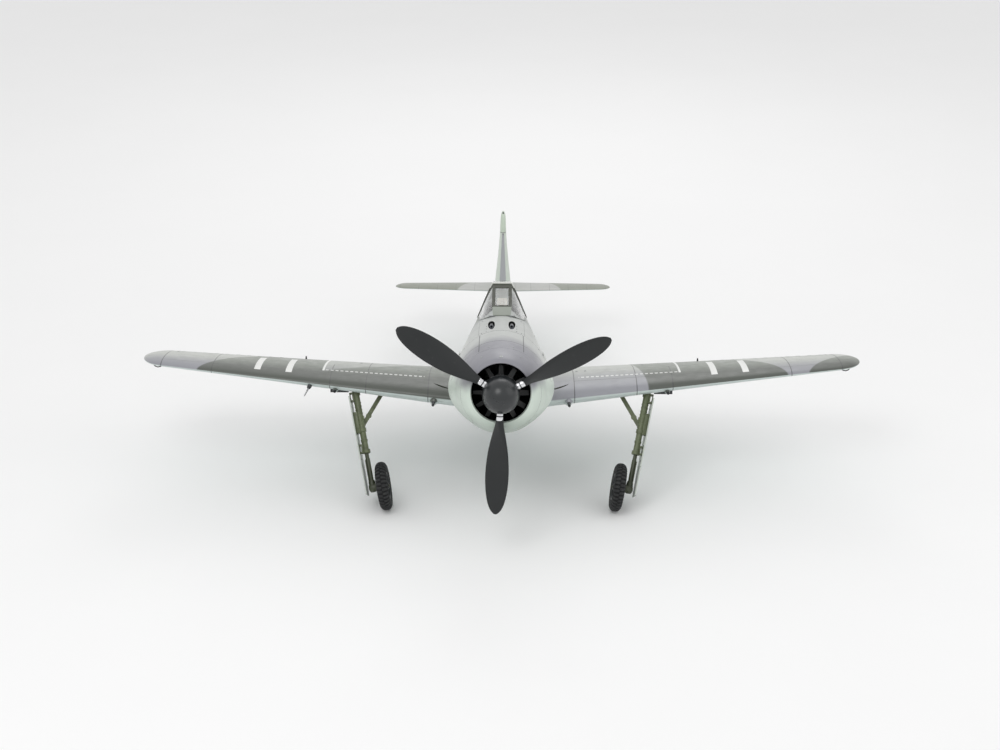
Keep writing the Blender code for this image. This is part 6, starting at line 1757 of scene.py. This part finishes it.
def build_cockpit():
    low = Vector((-COCKPIT_HALF + GAP, COCKPIT_Y[0] + GAP, 0.0150))
    high = Vector((COCKPIT_HALF - GAP, COCKPIT_Y[1] - GAP, 0.0640))
    inside = box(low + Vector((0.0015, 0.0015, 0.0015)),
                 Vector((high.x - 0.0015, high.y - 0.0015, 0.10)))
    tub = carve(box(low, high), COCKPIT, ("DIFFERENCE", inside, COCKPIT))
    piece("tub_shell", tub, "airframe", "cockpit_grey", replaces=("cockpit_tub",))
    consoles = []
    for side in (1, -1):
        shelf = box((0.0235, 0.450, 0.0170), (0.0375, 0.560, 0.0420), 0.0012)
        knobs = [rod((0.0305, 0.462 + 0.016 * i, 0.0418), (0.0305, 0.462 + 0.016 * i, 0.0446),
                     0.0028 - 0.0004 * (i % 3), chamfer=0.0004) for i in range(6)]
        consoles.append(mirrored(merged(shelf, *knobs), side))
    piece("side_consoles", merged(*consoles), "airframe", "cockpit_grey", COCKPIT)
    throttle = [(0.0305, 0.470, 0.042), (0.0300, 0.466, 0.050), (0.0285, 0.463, 0.056)]
    stick = [(0, 0.492, 0.0175), (0, 0.489, 0.034), (0, 0.4935, 0.049), (0, 0.4925, 0.055)]
    lever = merged(bent_tube(throttle, 0.0012),
                   rod((0.0285, 0.463, 0.0545), (0.0281, 0.462, 0.0600), 0.0024, chamfer=0.0006),
                   bent_tube(stick, 0.0016),
                   rod((0, 0.4930, 0.0520), (0, 0.4900, 0.0640), 0.0027, 0.0023, chamfer=0.0006))
    piece("stick_and_throttle", lever, "airframe", "gun_metal", GUN)
    y = COCKPIT_Y[0] + 0.030
    outline = [(-0.0370, 0.0170), (0.0370, 0.0170), (0.0370, 0.0560), (0.0330, 0.0660),
               (0.0240, 0.0735), (0.0120, 0.0775), (-0.0120, 0.0775), (-0.0240, 0.0735),
               (-0.0330, 0.0660), (-0.0370, 0.0560)]
    board = loft([[Vector((x, row, z)) for x, z in outline] for row in (y, y + 0.002)])
    piece("dial_board", board, "airframe", "cockpit_grey", BLACK_AND_PAINTED_SHADE, replaces=("instrument_panel",))
    dials = ((-0.021, 0.062, 0.0052), (-0.007, 0.066, 0.0058), (0.007, 0.066, 0.0058),
             (0.021, 0.062, 0.0052), (-0.022, 0.049, 0.0048), (-0.0085, 0.051, 0.0062),
             (0.0085, 0.051, 0.0062), (0.022, 0.049, 0.0048), (-0.012, 0.037, 0.0044),
             (0.0, 0.037, 0.0044), (0.012, 0.037, 0.0044))
    bezels, faces = [], []
    for x, z, radius in dials:
        bezels.append(turned(((0.0, radius), (0.0014, radius * 0.96), (0.0018, radius * 0.86),
                              (0.0006, radius * 0.80), (0.0, radius * 0.80)),
                             (x, y + 0.0019, z), Y_AXIS, 32, closed=True))
        for i in range(12):
            angle = math.tau * i / 12
            tick = box((-0.00018, 0.0, radius * 0.58), (0.00018, 0.0004, radius * 0.76))
            turn = Matrix.Translation((x, y + 0.0020, z)) @ Matrix.Rotation(angle, 4, "Y")
            faces.append(placed(tick, turn))
        needle = box((-0.00025, 0.0, -radius * 0.15), (0.00025, 0.0005, radius * 0.62))
        turn = Matrix.Rotation(0.7 + 40 * x + 9 * z, 4, "Y")
        faces.append(placed(needle, Matrix.Translation((x, y + 0.0022, z)) @ turn))
    piece("dial_bezels", merged(*bezels), "airframe", "bright_metal", STEEL)
    piece("dial_marks", merged(*faces), "airframe", "cockpit_grey", WHITE)

    pan = []
    for x in spread(-0.0190, 0.0190, 9):
        edge = 1.0 - abs(x / 0.019) ** 4
        pan.append([Vector((x, y0, z0)) for y0, z0 in
                    ((0.500, 0.0170), (0.556, 0.0170), (0.5755, 0.0840), (0.5690, 0.0870),
                     (0.5655, 0.0860 - 0.002 * (1 - edge)), (0.5500 + 0.0030 * edge, 0.0350),
                     (0.5400, 0.0320 - 0.0010 * edge), (0.505, 0.0300 - 0.0014 * edge),
                     (0.500, 0.0285))])
    piece("seat_shell", loft(pan), "airframe", "seat_cream", COCKPIT, replaces=("pilot_seat",),
          sharp=40.0)
    cushion = box((-0.0145, 0.506, 0.0300), (0.0145, 0.546, 0.0375), 0.0030)
    head = placed(box((-0.0112, -0.0045, -0.0125), (0.0112, 0.0045, 0.0085), 0.0036),
                  Matrix.Translation((0.0, 0.5655, 0.0930)) @ Matrix.Rotation(-0.16, 4, "X"))
    back = placed(box((-0.0145, -0.0022, -0.0190), (0.0145, 0.0022, 0.0190), 0.0018),
                  Matrix.Translation((0.0, 0.5575, 0.0585)) @ Matrix.Rotation(-0.19, 4, "X"))
    for name, shape in (("seat_cushion", cushion), ("seat_back_pad", back), ("head_pad", head)):
        piece(name, shape, "airframe", "seat_cream", CREAM, sharp=70.0)
    outline = [(-0.0185, 0.0640), (0.0185, 0.0640), (0.0185, 0.0900), (0.0150, 0.1100),
               (0.0095, 0.1180), (-0.0095, 0.1180), (-0.0150, 0.1100), (-0.0185, 0.0900)]
    armour = [[Vector((x * shrink, y, z)) for x, z in outline]
              for y, shrink in ((0.5815, 0.96), (0.5821, 1.0), (0.5835, 1.0), (0.5841, 0.96))]
    piece("head_armour", loft(armour), "airframe", "cockpit_grey", PANEL_GREEN)
    straps = []
    for x in (-0.0085, 0.0085):
        points = ((0.5640, 0.0840), (0.5590, 0.0800), (0.5545, 0.0600), (0.5510, 0.0480),
                  (0.5440, 0.0395), (0.5300, 0.0382))
        rows = [[Vector((x - 0.0022, y0, z0)), Vector((x + 0.0022, y0, z0))] for y0, z0 in points]
        lift = [[Vector((x - 0.0022, y0 - 0.0008, z0 + 0.0008)),
                 Vector((x + 0.0022, y0 - 0.0008, z0 + 0.0008))] for y0, z0 in points]
        straps.append(shell_loft(lift, rows))
    piece("seat_harness", merged(*straps), "airframe", "seat_cream", BROWN)
    sight = merged(box((-0.0050, 0.4445, 0.0770), (0.0050, 0.4560, 0.0850), 0.0010),
                   rod((0, 0.450, 0.0850), (0, 0.450, 0.0875), 0.0034, chamfer=0.0005))
    piece("reflector_sight", sight, "airframe", "gun_metal", GUN)
    plate = placed(box((-0.0055, -0.0004, 0.0), (0.0055, 0.0004, 0.0100)),
                   Matrix.Translation((0, 0.449, 0.0872)) @ Matrix.Rotation(0.7, 4, "X"))
    piece("sight_glass", plate, "airframe", "clear_glazing", GLASS)


# ---------------------------------------------------------------- carried-over CAD nodes
def repaint():
    # The firewall is ply; its near-black is a painted shade behind the cowl opening.
    finishes = {"firewall": BLACK_AND_PAINTED_SHADE, "equipment_tray": PLY, "flight_battery": BATTERY,
                "speed_controller": CASE, "radio_receiver": CASE, "elevator_servo": CASE,
                "rudder_servo": CASE, "aileron_servo_left": CASE, "aileron_servo_right": CASE,
                "retract_unit_left": CASE, "retract_unit_right": CASE, "motor_mount": ALLOY,
                "motor_bell": STEEL, "wing_joiner_tube": CARBON}
    for name, material in finishes.items():
        node = frame["nodes"][name]
        for slot in node.material_slots:
            slot.material = material
        if not node.material_slots:
            node.data.materials.append(material)


build_studio()
place_camera()
build_cowling()
build_fuselage()
build_hatch()
for wing_side in (1, -1):
    build_wing(wing_side)
    build_main_gear(wing_side)
build_tail()
build_propeller()
build_tail_gear()
build_screens()
build_cockpit()
repaint()
